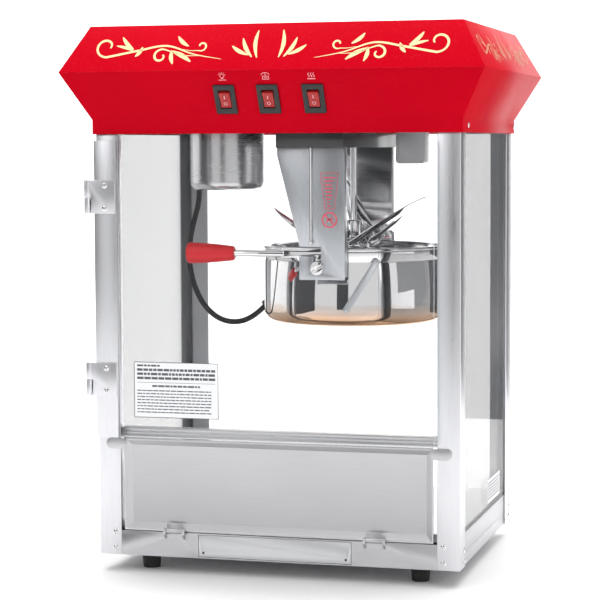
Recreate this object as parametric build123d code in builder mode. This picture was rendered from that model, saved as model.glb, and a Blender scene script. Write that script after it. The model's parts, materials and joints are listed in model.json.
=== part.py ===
from build123d import *
from math import asin, atan2, cos, degrees, radians, sin, sqrt, tan
import os

# Countertop popcorn maker, in millimetres.
# Origin: centre of the footprint at the table. +X right, +Y to the rear, +Z up.

# Overall sizes
case_width = 444.0
case_depth = 349.0
foot_height = 20.0
case_top = 543.0          # top of the corner posts, inside the canopy band
canopy_reach = 34.0       # ridge overhang beyond the case, left and right
canopy_reach_deep = 33.5  # ridge overhang beyond the case, front and rear

# Sheet and glass
post_wall = 2.0
rail_wall = 1.5
canopy_wall = 1.2
glass = 4.0
seat_gap = 0.3
running = 0.05            # radial clearance of a pin in its hole

# Corner posts
post_face = 27.5
front_flange = 31.0
rear_flange = 38.0
lip_depth = 12.0
glass_drop = 7.0          # side and rear glass below the posts' top

# Base
foot_d_top = 26.0
foot_d_bottom = 21.0
foot_inset_x = 54.0
foot_inset_y = 34.0
pan_wall_height = 15.0
rail_height = 30.0
deck_rise = 8.7           # deck's underside above the rails
deck_thick = 1.5
deck_hole_d = 6.0
deck_hole_pitch = 13.0

# Drop panel below the door
panel_lift = 1.0          # panel's lower edge above the rails
panel_height = 112.0
panel_side_gap = 4.2
panel_land = 2.5
panel_dish = 6.5
panel_sheet = 1.2
panel_pin_d = 3.0
panel_knuckle_r = 3.2
panel_tab_x = (-126.0, 120.5)
panel_tab_width = 20.0
panel_ear_width = 16.0
panel_ear_height = 13.0
sill_height = 12.0
sill_depth = 14.0

# Kernel drawer
drawer_center_x = -2.5
drawer_width = 188.0
drawer_length = 182.0
drawer_wall = 1.2
drawer_front_gap = 0.5

# Door
door_gap = 2.0            # between the door's rear face and the posts
pane_thick = 5.0
pane_lift = 1.5           # pane's lower edge above the drop panel
pane_drop = 7.4           # pane's upper edge below the canopy band
pane_overlap = 2.5        # short of the right post's inner edge
stile_wall = 1.5
stile_width = 28.0
hinge_axis_out = 8.5      # hinge axis outside the case's left face
knuckle_d = 9.0
hinge_pin_d = 4.0
hinge_leaf = 2.0
hinge_height = 40.0
hinge_bottoms = (214.5, 433.5)
hinge_split = 19.0        # height of the case's knuckle
leaf_reach = 32.0

# Canopy
band_overlap = 15.0       # canopy band's lap over the posts
band_height = 17.0
ridge_height = 73.0       # ridge above the band's lower edge
canopy_height = 128.0
band_gap = 2.1            # band's inner face to the posts
top_inset = 30.0          # top edge inside the ridge

# Switches on the canopy's front lower slope
switch_x = (-54.0, -1.5, 53.0)
switch_rise = 26.2        # along the slope, from the band
bezel_w = 26.0
bezel_h = 37.6
bezel_proud = 2.0
switch_body_w = 21.0
switch_body_h = 30.0
switch_body_deep = 20.0
rocker_w = 13.0
rocker_h = 20.0
rocker_tilt = 8.0
rocker_side_gap = 0.35
rocker_end_gap = 1.6

# Kettle and its hanger
kettle_x = 53.0
kettle_r = 112.0
kettle_bottom = 296.0
kettle_rim = 388.0
shell_wall = 1.2
pot_wall = 1.5
pot_floor = 316.0
rim_bead_d = 5.0
pivot_x = 41.0
pivot_z = 368.0
pivot_pin_d = 9.2
pivot_head_d = 16.0
pivot_head_thick = 3.0
hanger_plate = 1.6
hanger_clear = 21.4       # kettle's side to the inner face of each hanger plate
hanger_left = -8.0
hanger_right = 75.0
hanger_bottom = 354.0
bridge_height = 32.0
bridge_wall = 2.0
bridge_overhang = 5.0     # bridge beyond the hanger plates
slot_clear = 0.05
slot_run_bottom = 382.0
slot_run_top = 393.5
finger_left = 19.0

# Lid, stirrer and drive
flap_thick = 1.2
flap_gap = 13.0           # hinge line from the kettle's centre
flap_hinge_z = 396.0
flap_barrel_r = 3.0
flap_rod_d = 3.0
flap_relief_w = 26.0
flap_relief_l = 57.0
left_flap_raise = 30.0
right_flap_raise = 35.0
crossbar_top = 383.0
crossbar_thick = 2.5
crossbar_width = 20.0
shaft_d = 8.0
coupler_d = 23.0
coupler_bottom = 396.0
coupler_height = 25.0
coupler_slot = 9.2
stirrer_head_thick = 8.4
stirrer_head_width = 14.0
stirrer_head_height = 14.0
blade_clear = 20.0        # blade tips inside the kettle's side
blade_height = 9.0
blade_thick = 3.0

# Handle
handle_z = 384.5
handle_out = 14.0         # handle's centre in front of the kettle's side
handle_rod_d = 8.0
lever_thick = 4.0
lever_left = -6.0
grip_right = -64.0
grip_length = 59.0
grip_d_small = 18.0
grip_d_large = 25.5

# Socket can, cord and junction box
can_x = -99.0
can_y = -40.0
can_r = 46.0
can_height = 84.0
cord_d = 7.0
gland_d = 13.0

os.makedirs("parts", exist_ok=True)

# Worked-out sizes
half_w = case_width / 2
half_d = case_depth / 2
inner_w = half_w - post_wall
inner_d = half_d - post_wall
post_edge = half_w - post_face
glass_w = inner_w - glass
glass_d = inner_d - glass
rail_top = foot_height + rail_height
deck_level = rail_top + deck_rise
panel_bottom = rail_top + panel_lift
pane_bottom = panel_bottom + panel_height + pane_lift
band_bottom = case_top - band_overlap
pane_top = band_bottom - pane_drop
hanger_y = kettle_r + hanger_clear
handle_y = -kettle_r - handle_out
blade_reach = kettle_r - blade_clear
deck_top = deck_level + deck_thick
bridge_bottom = case_top - bridge_height
can_bottom = case_top - can_height
band_w = half_w + band_gap + canopy_wall
band_d = half_d + band_gap + canopy_wall
ridge_w = half_w + canopy_reach
ridge_d = half_d + canopy_reach_deep
top_w = ridge_w - top_inset
top_d = ridge_d - top_inset
band_top = band_bottom + band_height
ridge_z = band_bottom + ridge_height
canopy_top_z = band_bottom + canopy_height
ceiling_z = case_top
ceiling_thick = 1.5


def save(builder, name):
    """Label a finished piece and write it."""
    builder.part.label = name
    export_step(builder.part, f"parts/{name}.step")


def box_between(low, high):
    """Add a box between two corners to the current part."""
    size = [h - l for l, h in zip(low, high)]
    middle = tuple((h + l) / 2 for l, h in zip(low, high))
    with Locations(middle):
        Box(*size)


def cut_between(low, high):
    """Cut a box between two corners from the current part."""
    size = [h - l for l, h in zip(low, high)]
    middle = tuple((h + l) / 2 for l, h in zip(low, high))
    with Locations(middle):
        Box(*size, mode=Mode.SUBTRACT)


# Feet: tapered rubber, one under each corner
with BuildPart() as feet:
    with Locations((0, 0, foot_height / 2)):
        with GridLocations(case_width - 2 * foot_inset_x, case_depth - 2 * foot_inset_y, 2, 2):
            Cone(foot_d_bottom / 2, foot_d_top / 2, foot_height)
save(feet, "feet")

# Base pan: floor with three low walls behind the posts
pan_front = -half_d + 25.0
with BuildPart() as base_pan:
    box_between((-inner_w, pan_front, foot_height), (inner_w, inner_d, foot_height + rail_wall))
    for side in (-1, 1):
        x = side * (inner_w - rail_wall / 2)
        box_between(
            (x - rail_wall / 2, -inner_d, foot_height),
            (x + rail_wall / 2, inner_d, foot_height + pan_wall_height),
        )
    box_between(
        (-inner_w, inner_d - rail_wall, foot_height),
        (inner_w, inner_d, foot_height + pan_wall_height),
    )
save(base_pan, "base_pan")

# Side rails and rear rail: angles above the pan's walls that carry the deck and the glass
rail_shelf = 14.0
pan_wall_top = foot_height + pan_wall_height
with BuildPart() as side_rails:
    for side in (-1, 1):
        outer = side * inner_w
        for reach, low in ((rail_wall, pan_wall_top), (rail_shelf, deck_level - rail_wall)):
            inner = outer - side * reach
            box_between(
                (min(inner, outer), -inner_d, low),
                (max(inner, outer), inner_d - rail_shelf - seat_gap, deck_level),
            )
save(side_rails, "side_rails")

with BuildPart() as rear_rail:
    rear_reach = inner_w - rail_wall - seat_gap
    box_between((-rear_reach, inner_d - rail_wall, pan_wall_top), (rear_reach, inner_d, deck_level))
    box_between(
        (-rear_reach, inner_d - rail_shelf, deck_level - rail_wall),
        (rear_reach, inner_d, deck_level),
    )
save(rear_rail, "rear_rail")

# Deck: floor of the popcorn bin, perforated above the drawer, with a turned-down front edge
deck_front = -half_d + lip_depth + 0.6
hole_columns = 13
hole_rows = 9
with BuildPart() as deck:
    box_between(
        (-glass_w + seat_gap, deck_front, deck_level),
        (glass_w - seat_gap, glass_d - seat_gap, deck_top),
    )
    box_between(
        (-glass_w + seat_gap, deck_front, rail_top),
        (glass_w - seat_gap, deck_front + deck_thick, deck_level),
    )
    for corner in (-1, 1):
        x = corner * (inner_w - rail_shelf / 2)
        cut_between(
            (x - rail_shelf / 2 - seat_gap, deck_front, rail_top),
            (x + rail_shelf / 2, deck_front + deck_thick, deck_level),
        )
    with BuildSketch(Plane.XY.offset(deck_level)):
        with Locations((drawer_center_x, deck_front + 82.0)):
            with GridLocations(deck_hole_pitch, deck_hole_pitch, hole_columns, hole_rows):
                Circle(deck_hole_d / 2)
    extrude(amount=deck_thick, mode=Mode.SUBTRACT)
save(deck, "deck")

# Corner posts: folded angles; the front pair has a lip turned in beside the door opening
for name, side, end, flange in (
    ("front_left_post", -1, -1, front_flange),
    ("front_right_post", 1, -1, front_flange),
    ("rear_left_post", -1, 1, rear_flange),
    ("rear_right_post", 1, 1, rear_flange),
):
    with BuildPart() as post:
        with BuildSketch(Plane.XY.offset(foot_height)):
            corner_x = side * half_w
            corner_y = end * half_d
            with Locations((corner_x - side * post_face / 2, corner_y - end * post_wall / 2)):
                Rectangle(post_face, post_wall)
            with Locations((corner_x - side * post_wall / 2, corner_y - end * flange / 2)):
                Rectangle(post_wall, flange)
            if end < 0:
                with Locations((side * (post_edge + post_wall / 2), corner_y - end * lip_depth / 2)):
                    Rectangle(post_wall, lip_depth)
        extrude(amount=case_top - foot_height)
    save(post, name)

# Side glass and rear glass, behind the post flanges and standing on the rails
with BuildPart() as side_glass:
    for side in (-1, 1):
        x = side * (inner_w - glass / 2)
        box_between(
            (x - glass / 2, -inner_d + seat_gap, deck_level),
            (x + glass / 2, glass_d - seat_gap, case_top - glass_drop),
        )
save(side_glass, "side_glass")

with BuildPart() as rear_glass:
    box_between(
        (-inner_w + seat_gap, glass_d, deck_level), (inner_w - seat_gap, inner_d, case_top - glass_drop)
    )
save(rear_glass, "rear_glass")

# Front rail: channel between the front posts with the drawer's opening and the panel's hinge lugs
drawer_left = drawer_center_x - drawer_width / 2
drawer_right = drawer_center_x + drawer_width / 2
drawer_low = foot_height + rail_wall + drawer_front_gap
panel_axis_y = -half_d - panel_knuckle_r - 0.4
panel_axis_z = panel_bottom + 1.5
lug_thick = 3.0
lug_low = foot_height + 22.0
with BuildPart() as front_rail:
    box_between((-post_edge, -half_d, foot_height), (post_edge, -half_d + rail_wall, rail_top))
    for low in (foot_height, rail_top - rail_wall):
        box_between(
            (-post_edge + lip_depth, -half_d, low),
            (post_edge - lip_depth, pan_front - 0.1, low + rail_wall)
        )
    cut_between(
        (drawer_left - drawer_front_gap, -half_d, foot_height + rail_wall),
        (drawer_right + drawer_front_gap, -half_d + rail_wall, rail_top - rail_wall),
    )
    for tab_x in panel_tab_x:
        for end in (-1, 1):
            lug_x = tab_x + end * (panel_tab_width / 2 + seat_gap + lug_thick / 2)
            with BuildSketch(Plane.YZ.offset(lug_x - lug_thick / 2)):
                with Locations((panel_axis_y, panel_axis_z)):
                    Circle(panel_knuckle_r)
                with BuildLine():
                    Polyline(
                        (panel_axis_y - panel_knuckle_r, panel_axis_z),
                        (panel_axis_y + panel_knuckle_r, panel_axis_z),
                        (panel_axis_y + panel_knuckle_r, rail_top - 2.0),
                        (-half_d, rail_top - 2.0),
                        (-half_d, lug_low),
                        (panel_axis_y - panel_knuckle_r, lug_low + 6.0),
                        close=True,
                    )
                make_face()
                with Locations((panel_axis_y, panel_axis_z)):
                    Circle(panel_pin_d / 2 + running, mode=Mode.SUBTRACT)
            extrude(amount=lug_thick)
save(front_rail, "front_rail")

# Front sill: fixed ledge under the door, with two pressed grooves
sill_bottom = panel_bottom + panel_height + 1.0
with BuildPart() as front_sill:
    box_between(
        (-post_edge, -half_d, sill_bottom), (post_edge, -half_d + rail_wall, sill_bottom + sill_height)
    )
    box_between(
        (-post_edge + post_wall, -half_d, sill_bottom + sill_height - rail_wall),
        (post_edge - post_wall, -half_d + sill_depth, sill_bottom + sill_height),
    )
    for groove in (3.4, 7.4):
        cut_between(
            (-post_edge, -half_d, sill_bottom + groove),
            (post_edge, -half_d + 0.5, sill_bottom + groove + 1.2),
        )
save(front_sill, "front_sill")

# Drop panel: dished pan with a flat land round it and two ears that rest on the posts
panel_half = post_edge - panel_side_gap
panel_mid_z = panel_bottom + panel_height / 2
dish_w = 2 * (panel_half - panel_land)
dish_h = panel_height - 2 * panel_land
ear_gap = 0.6
ear_top = panel_bottom + panel_height - 0.5
with BuildPart() as drop_panel:
    box_between(
        (-panel_half, -half_d, panel_bottom),
        (panel_half, -half_d + panel_sheet, panel_bottom + panel_height)
    )
    for step, mode in ((panel_sheet, Mode.ADD), (0.0, Mode.SUBTRACT)):
        spread = 0.7 * step
        with BuildSketch(Plane.XZ.offset(half_d)):
            with Locations((0, panel_mid_z)):
                Rectangle(dish_w + 2 * spread, dish_h + 2 * spread)
        with BuildSketch(Plane.XZ.offset(half_d - panel_dish - step)):
            with Locations((0, panel_mid_z)):
                Rectangle(dish_w - 2 * panel_dish + 2 * spread, dish_h - 2 * panel_dish + 2 * spread)
        loft(mode=mode)
    for side in (-1, 1):
        ear_y = -half_d - ear_gap - panel_sheet
        with BuildSketch(Plane.XZ.offset(-ear_y)):
            with Locations(
                (side * (panel_half + panel_ear_width / 2 + 1.0), ear_top - panel_ear_height / 2)
            ):
                RectangleRounded(panel_ear_width + 10.0, panel_ear_height, panel_ear_height / 2 - 0.2)
        extrude(amount=-panel_sheet)
        ear_foot = side * (panel_half - 1.2)
        box_between(
            (min(ear_foot, side * panel_half), ear_y, ear_top - panel_ear_height + 3.0),
            (max(ear_foot, side * panel_half), -half_d + 0.2, ear_top - 3.0),
        )
save(drop_panel, "drop_panel")

# Hinge tabs of the drop panel: a knuckle with a strap laid on the panel's lower land
strap_top = panel_bottom + 10.0
with BuildPart() as panel_hinge_tabs:
    for tab_x in panel_tab_x:
        with BuildSketch(Plane.YZ.offset(tab_x - panel_tab_width / 2)):
            with Locations((panel_axis_y, panel_axis_z)):
                Circle(panel_knuckle_r)
            with BuildLine():
                Polyline(
                    (panel_axis_y, panel_axis_z),
                    (-half_d, panel_axis_z),
                    (-half_d, strap_top),
                    (-half_d - post_wall, strap_top),
                    (-half_d - post_wall, panel_axis_z + 2.2),
                    (panel_axis_y, panel_axis_z + 2.2),
                    close=True,
                )
            make_face()
            with Locations((panel_axis_y, panel_axis_z)):
                Circle(panel_pin_d / 2 + running, mode=Mode.SUBTRACT)
        extrude(amount=panel_tab_width)
save(panel_hinge_tabs, "panel_hinge_tabs")

# Kernel drawer: open tray, its front plate and two guides on the base pan
tray_low = foot_height + rail_wall + 0.4
tray_high = rail_top - rail_wall - 1.5
tray_front = -half_d + rail_wall
tray_back = tray_front + drawer_length
with BuildPart() as drawer_tray:
    box_between((drawer_left + 1.0, tray_front, tray_low), (drawer_right - 1.0, tray_back, tray_high))
    cut_between(
        (drawer_left + 1.0 + drawer_wall, tray_front + drawer_wall, tray_low + drawer_wall),
        (drawer_right - 1.0 - drawer_wall, tray_back - drawer_wall, tray_high),
    )
save(drawer_tray, "drawer_tray")

with BuildPart() as drawer_front:
    box_between(
        (drawer_left, -half_d, drawer_low),
        (drawer_right, tray_front, rail_top - rail_wall - drawer_front_gap)
    )
    with Locations(
        (drawer_left + 6.0, -half_d, drawer_low + 5.0), (drawer_right - 6.0, -half_d, drawer_low + 5.0)
    ):
        Cylinder(1.8, 1.0, rotation=(90, 0, 0))
save(drawer_front, "drawer_front")

guide_thick = 3.0
with BuildPart() as drawer_guides:
    for low_x in (drawer_left - 0.2 - guide_thick, drawer_right + 0.2):
        box_between(
            (low_x, pan_front, foot_height + rail_wall),
            (low_x + guide_thick, tray_back + 12.0, foot_height + pan_wall_height),
        )
save(drawer_guides, "drawer_guides")

# Door: clear pane, its stile, and lift-off hinges on the left
pane_rear = -half_d - door_gap - stile_wall
pane_front = pane_rear - pane_thick
stile_front = pane_front - stile_wall
stile_left = -half_w + 0.5
pane_right = post_edge - pane_overlap
axis_x = -half_w - hinge_axis_out
axis_y = pane_front - 0.5
with BuildPart() as door_pane:
    box_between(
        (stile_left + stile_wall, pane_front, pane_bottom), (pane_right, pane_rear, pane_top)
    )
    right_edges = door_pane.edges().filter_by(Axis.Y).group_by(Axis.X)[-1]
    fillet(right_edges, 3.0)
save(door_pane, "door_pane")

with BuildPart() as door_stile:
    box_between(
        (stile_left, stile_front, pane_bottom - 0.5),
        (stile_left + stile_wall, pane_rear + stile_wall, pane_top)
    )
    box_between(
        (stile_left, stile_front, pane_bottom - 0.5), (stile_left + stile_width, pane_front, pane_top)
    )
    box_between(
        (stile_left, pane_rear, pane_bottom - 0.5),
        (stile_left + stile_width, pane_rear + stile_wall, pane_top)
    )
save(door_stile, "door_stile")

leaf_front = stile_front - hinge_leaf
leaf_right = axis_x + leaf_reach + 4.0
with BuildPart() as door_hinge_leaves:
    for low in hinge_bottoms:
        box_between(
            (-half_w - 3.0, leaf_front, low), (leaf_right, stile_front, low + hinge_height)
        )
        box_between(
            (axis_x, leaf_front, low + hinge_split + seat_gap),
            (-half_w - 3.0, stile_front, low + hinge_height)
        )
        with BuildSketch(Plane.XY.offset(low + hinge_split + seat_gap)):
            with Locations((axis_x, axis_y)):
                Circle(knuckle_d / 2)
        extrude(amount=hinge_height - hinge_split - seat_gap)
        with BuildSketch(Plane.XY.offset(low)):
            with Locations((axis_x, axis_y)):
                Circle(hinge_pin_d / 2 + running)
        extrude(amount=hinge_height, mode=Mode.SUBTRACT)
save(door_hinge_leaves, "door_hinge_leaves")

case_leaf_front = -half_d + 1.0
with BuildPart() as case_hinge_leaves:
    for low in hinge_bottoms:
        box_between(
            (-half_w - hinge_leaf, case_leaf_front, low),
            (-half_w, -half_d + front_flange - 4.0, low + hinge_height)
        )
        box_between(
            (-half_w - hinge_leaf, -half_d - 1.0, low), (-half_w, case_leaf_front, low + hinge_split)
        )
        box_between(
            (axis_x, -half_d - 5.5, low), (-half_w - seat_gap, -half_d - 1.0, low + hinge_split)
        )
        with BuildSketch(Plane.XY.offset(low)):
            with Locations((axis_x, axis_y)):
                Circle(knuckle_d / 2)
            with Locations((axis_x - 0.5, (axis_y - half_d - 1.0) / 2)):
                Rectangle(knuckle_d - 4.0, -1.0 - half_d - axis_y)
            with Locations((axis_x, axis_y)):
                Circle(hinge_pin_d / 2 + running, mode=Mode.SUBTRACT)
        extrude(amount=hinge_split)
save(case_hinge_leaves, "case_hinge_leaves")

with BuildPart() as hinge_pins:
    for low in hinge_bottoms:
        with Locations((axis_x, axis_y, low + hinge_height / 2)):
            Cylinder(hinge_pin_d / 2, hinge_height - 4.0)
    pin_length = panel_tab_width + 2 * (seat_gap + lug_thick)
    for tab_x in panel_tab_x:
        with Locations((tab_x, panel_axis_y, panel_axis_z)):
            Cylinder(panel_pin_d / 2, pin_length, rotation=(0, 90, 0))
save(hinge_pins, "hinge_pins")


def pan_head(diameter, height, normal, spots):
    """Add screw heads standing on a surface, one at each spot, facing along the normal."""
    base = (Align.CENTER, Align.CENTER, Align.MIN)
    with Locations([Plane(origin=spot, z_dir=normal) for spot in spots]):
        Cone(diameter / 2, diameter / 3, height, align=base)


door_screw_d = 7.0
leaf_screw_x = (-half_w + leaf_right) / 2 + 1.0
with BuildPart() as door_hinge_screws:
    spots = []
    for low in hinge_bottoms:
        for rise in (6.5, hinge_height - 6.5):
            spots.append((leaf_screw_x, leaf_front, low + rise))
    pan_head(door_screw_d, 1.8, (0, -1, 0), spots)
save(door_hinge_screws, "door_hinge_screws")

# Screws of the case: at the feet of the posts, on the case hinge leaves and on the canopy band
case_screw_d = 6.5
low_screw_z = foot_height + 8.0
high_screw_z = foot_height + 27.5
band_screw_z = band_bottom + 8.5
with BuildPart() as case_screws:
    for side in (-1, 1):
        front_spots = [(side * (half_w - 20.0), -half_d, z) for z in (low_screw_z, high_screw_z)]
        pan_head(case_screw_d, 1.6, (0, -1, 0), front_spots)
        rear_spots = [(side * (half_w - 20.0), half_d, z) for z in (low_screw_z, high_screw_z)]
        pan_head(case_screw_d, 1.6, (0, 1, 0), rear_spots)
        side_spots = []
        for y in (-half_d + 24.0, half_d - 17.0):
            side_spots += [(side * half_w, y, z) for z in (low_screw_z - 0.5, high_screw_z - 7.0)]
        pan_head(case_screw_d, 1.6, (side, 0, 0), side_spots)
        band_spots = [(side * band_w, y, band_screw_z) for y in (-half_d + 27.0, half_d - 7.0)]
        pan_head(case_screw_d, 1.6, (side, 0, 0), band_spots)
    leaf_spots = []
    for low in hinge_bottoms:
        leaf_spots += [(-half_w - hinge_leaf, -half_d + 15.0, low + rise) for rise in (9.0, 31.0)]
    pan_head(case_screw_d, 1.6, (-1, 0, 0), leaf_spots)
save(case_screws, "case_screws")

# Canopy: a folded skirt that flares to a ridge and closes in again, open above and below
slope_rise = ridge_z - band_top
front_run = ridge_d - band_d
slope_angle = degrees(atan2(front_run, slope_rise))


def slope_plane(x, along, end):
    """Plane on the lower slope, front (-1) or rear (1), facing outwards, its y axis up the slope."""
    y = end * (band_d + along * sin(radians(slope_angle)))
    z = band_top + along * cos(radians(slope_angle))
    normal = (0, end * cos(radians(slope_angle)), -sin(radians(slope_angle)))
    return Plane(origin=(x, y, z), x_dir=(-end, 0, 0), z_dir=normal)


inlet_w = 31.0
inlet_h = 24.0
inlet_x = -150.0
inlet_lap = 1.5
cutout_gap = 0.2
with BuildPart() as canopy_shell:
    for inset, mode in ((0.0, Mode.ADD), (canopy_wall, Mode.SUBTRACT)):
        levels = (
            (band_bottom, band_w, band_d),
            (band_top, band_w, band_d),
            (ridge_z, ridge_w, ridge_d),
            (canopy_top_z, top_w, top_d),
        )
        for (low, low_w, low_d), (high, high_w, high_d) in zip(levels, levels[1:]):
            with BuildSketch(Plane.XY.offset(low)):
                Rectangle(2 * (low_w - inset), 2 * (low_d - inset))
            with BuildSketch(Plane.XY.offset(high)):
                Rectangle(2 * (high_w - inset), 2 * (high_d - inset))
            loft(mode=mode)
    for x in switch_x:
        with BuildSketch(slope_plane(x, switch_rise, -1)):
            Rectangle(switch_body_w + 2 * cutout_gap, switch_body_h + 2 * cutout_gap)
        extrude(amount=4.0, both=True, mode=Mode.SUBTRACT)
    with BuildSketch(slope_plane(inlet_x, switch_rise, 1)):
        Rectangle(inlet_w - 2 * inlet_lap, inlet_h - 2 * inlet_lap)
    extrude(amount=4.0, both=True, mode=Mode.SUBTRACT)
save(canopy_shell, "canopy_shell")

# Canopy top: flat lid let into the shell, with its front and rear edges turned down
lid_sheet = 1.5
lid_lip = 8.0
with BuildPart() as canopy_top:
    lid_w = top_w - canopy_wall - seat_gap
    lid_d = top_d - canopy_wall - seat_gap
    box_between((-lid_w, -lid_d, canopy_top_z - lid_sheet), (lid_w, lid_d, canopy_top_z))
    box_between(
        (-lid_w, -lid_d, canopy_top_z - lid_lip), (lid_w, -lid_d + lid_sheet, canopy_top_z - lid_sheet)
    )
    box_between(
        (-lid_w, lid_d - lid_sheet, canopy_top_z - lid_lip), (lid_w, lid_d, canopy_top_z - lid_sheet)
    )
save(canopy_top, "canopy_top")

# Ceiling plate on the posts, with holes for the drive shaft, the can and the lamp
lamp_x = 140.0
lamp_y = -60.0
lamp_hole_r = 30.0
with BuildPart() as ceiling_plate:
    plate_w = band_w - canopy_wall - 0.1
    plate_d = band_d - canopy_wall - 0.1
    box_between((-plate_w, -plate_d, ceiling_z), (plate_w, plate_d, ceiling_z + ceiling_thick))
    with Locations((kettle_x, 0, ceiling_z)):
        Cylinder(shaft_d, 4 * ceiling_thick, mode=Mode.SUBTRACT)
    with Locations((can_x, can_y, ceiling_z)):
        Cylinder(can_r / 2, 4 * ceiling_thick, mode=Mode.SUBTRACT)
    with Locations((lamp_x, lamp_y, ceiling_z)):
        Cylinder(lamp_hole_r, 4 * ceiling_thick, mode=Mode.SUBTRACT)
save(ceiling_plate, "ceiling_plate")

# Rocker switches: a body through the slope with a bezel, and a rocker that tilts in it
body_names = ("warmer_switch_body", "motor_switch_body", "heater_switch_body")
rocker_names = ("warmer_rocker", "motor_rocker", "heater_rocker")
pocket_deep = 13.0
rocker_deep = 6.0
rocker_dip = 1.2
for name, x in zip(body_names, switch_x):
    plane = slope_plane(x, switch_rise, -1)
    with BuildPart() as switch_body:
        with BuildSketch(plane):
            RectangleRounded(bezel_w, bezel_h, 1.5)
        extrude(amount=bezel_proud)
        with BuildSketch(plane):
            Rectangle(switch_body_w, switch_body_h)
        extrude(amount=-switch_body_deep)
        with BuildSketch(plane.offset(bezel_proud)):
            Rectangle(rocker_w + 2 * rocker_side_gap, rocker_h + 2 * rocker_end_gap)
        extrude(amount=-pocket_deep, mode=Mode.SUBTRACT)
    save(switch_body, name)

for name, x in zip(rocker_names, switch_x):
    face = slope_plane(x, switch_rise, -1)
    tilt_plane = Plane(
        origin=face.origin - face.z_dir * 2.0 - face.x_dir * (rocker_w / 2),
        x_dir=face.y_dir * cos(radians(rocker_tilt)) + face.z_dir * sin(radians(rocker_tilt)),
        z_dir=face.x_dir,
    )
    with BuildPart() as rocker:
        with BuildSketch(tilt_plane):
            with BuildLine():
                Polyline(
                    (-rocker_h / 2, -rocker_deep),
                    (rocker_h / 2, -rocker_deep),
                    (rocker_h / 2, bezel_proud + 3.0),
                    (0, bezel_proud + 3.0 - rocker_dip),
                    (-rocker_h / 2, bezel_proud + 3.0),
                    close=True,
                )
            make_face()
        extrude(amount=rocker_w)
    save(rocker, name)

# Mains inlet in the rear slope: flange, hollow body and three blades
with BuildPart() as mains_inlet:
    plane = slope_plane(inlet_x, switch_rise, 1)
    with BuildSketch(plane):
        RectangleRounded(inlet_w, inlet_h, 2.0)
    extrude(amount=2.0)
    with BuildSketch(plane):
        Rectangle(inlet_w - 4.0, inlet_h - 4.0)
    extrude(amount=-18.0)
    with BuildSketch(plane.offset(2.0)):
        RectangleRounded(inlet_w - 7.0, inlet_h - 8.0, 2.0)
    extrude(amount=-16.0, mode=Mode.SUBTRACT)
    with BuildSketch(plane.offset(-14.0)):
        with Locations((-7.0, -2.0), (0.0, 2.5), (7.0, -2.0)):
            Rectangle(2.0, 4.0)
    extrude(amount=10.0)
save(mains_inlet, "mains_inlet")

# Lamp above its hole in the ceiling plate
with BuildPart() as lamp_holder:
    bracket_top = ceiling_z + 74.0
    foot_z = ceiling_z + ceiling_thick
    for side in (-1, 1):
        x = lamp_x + side * 38.0
        box_between((x - 1.0, lamp_y - 10.0, foot_z), (x + 1.0, lamp_y + 10.0, bracket_top))
    box_between(
        (lamp_x - 39.0, lamp_y - 10.0, bracket_top), (lamp_x + 39.0, lamp_y + 10.0, bracket_top + 2.0)
    )
    with BuildSketch(Plane.XY.offset(bracket_top - 24.0)):
        with Locations((lamp_x, lamp_y)):
            Circle(16.0)
    extrude(amount=24.0)
    with BuildSketch(Plane.XY.offset(bracket_top - 24.0)):
        with Locations((lamp_x, lamp_y)):
            Circle(12.5)
    extrude(amount=18.0, mode=Mode.SUBTRACT)
save(lamp_holder, "lamp_holder")

bulb_r = 22.0
with BuildPart() as lamp_bulb:
    with Locations((lamp_x, lamp_y, ceiling_z + 27.0)):
        Sphere(bulb_r)
    with BuildSketch(Plane.XY.offset(ceiling_z + 38.0)):
        with Locations((lamp_x, lamp_y)):
            Circle(12.0)
    extrude(amount=28.0)
save(lamp_bulb, "lamp_bulb")

# Bridge: channel across the ceiling that carries the hanger plates and the gear motor above
bridge_front = -hanger_y - hanger_plate - bridge_overhang
with BuildPart() as bridge:
    box_between(
        (hanger_left, bridge_front, bridge_bottom),
        (hanger_right, -bridge_front, bridge_bottom + bridge_wall)
    )
    for low_x in (hanger_left, hanger_right - bridge_wall):
        box_between((low_x, bridge_front, bridge_bottom), (low_x + bridge_wall, -bridge_front, ceiling_z))
    for low_y in (bridge_front, -bridge_front - bridge_wall):
        box_between((hanger_left, low_y, bridge_bottom), (hanger_right, low_y + bridge_wall, ceiling_z))
    with Locations((kettle_x, 0, bridge_bottom)):
        Cylinder(shaft_d / 2 + 0.5, 6 * bridge_wall, mode=Mode.SUBTRACT)
save(bridge, "bridge")

# Gear motor on the ceiling plate: gearbox bored for the drive shaft, motor beside it
gearbox_height = 38.0
gearbox_w = 84.0
gearbox_d = 62.0
motor_r = 25.0
motor_height = 46.0
motor_offset = 18.0
shaft_seat = 12.0
with BuildPart() as gear_motor:
    with Locations((kettle_x, 0, ceiling_z + ceiling_thick + gearbox_height / 2)):
        Box(gearbox_w, gearbox_d, gearbox_height)
    fillet(gear_motor.edges().filter_by(Axis.Z), 6.0)
    with Locations(
        (kettle_x + motor_offset, 0, ceiling_z + ceiling_thick + gearbox_height + motor_height / 2)
    ):
        Cylinder(motor_r, motor_height)
    with Locations((kettle_x, 0, ceiling_z + ceiling_thick + shaft_seat / 2)):
        Cylinder(shaft_d / 2 + running, shaft_seat, mode=Mode.SUBTRACT)
save(gear_motor, "gear_motor")

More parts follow.
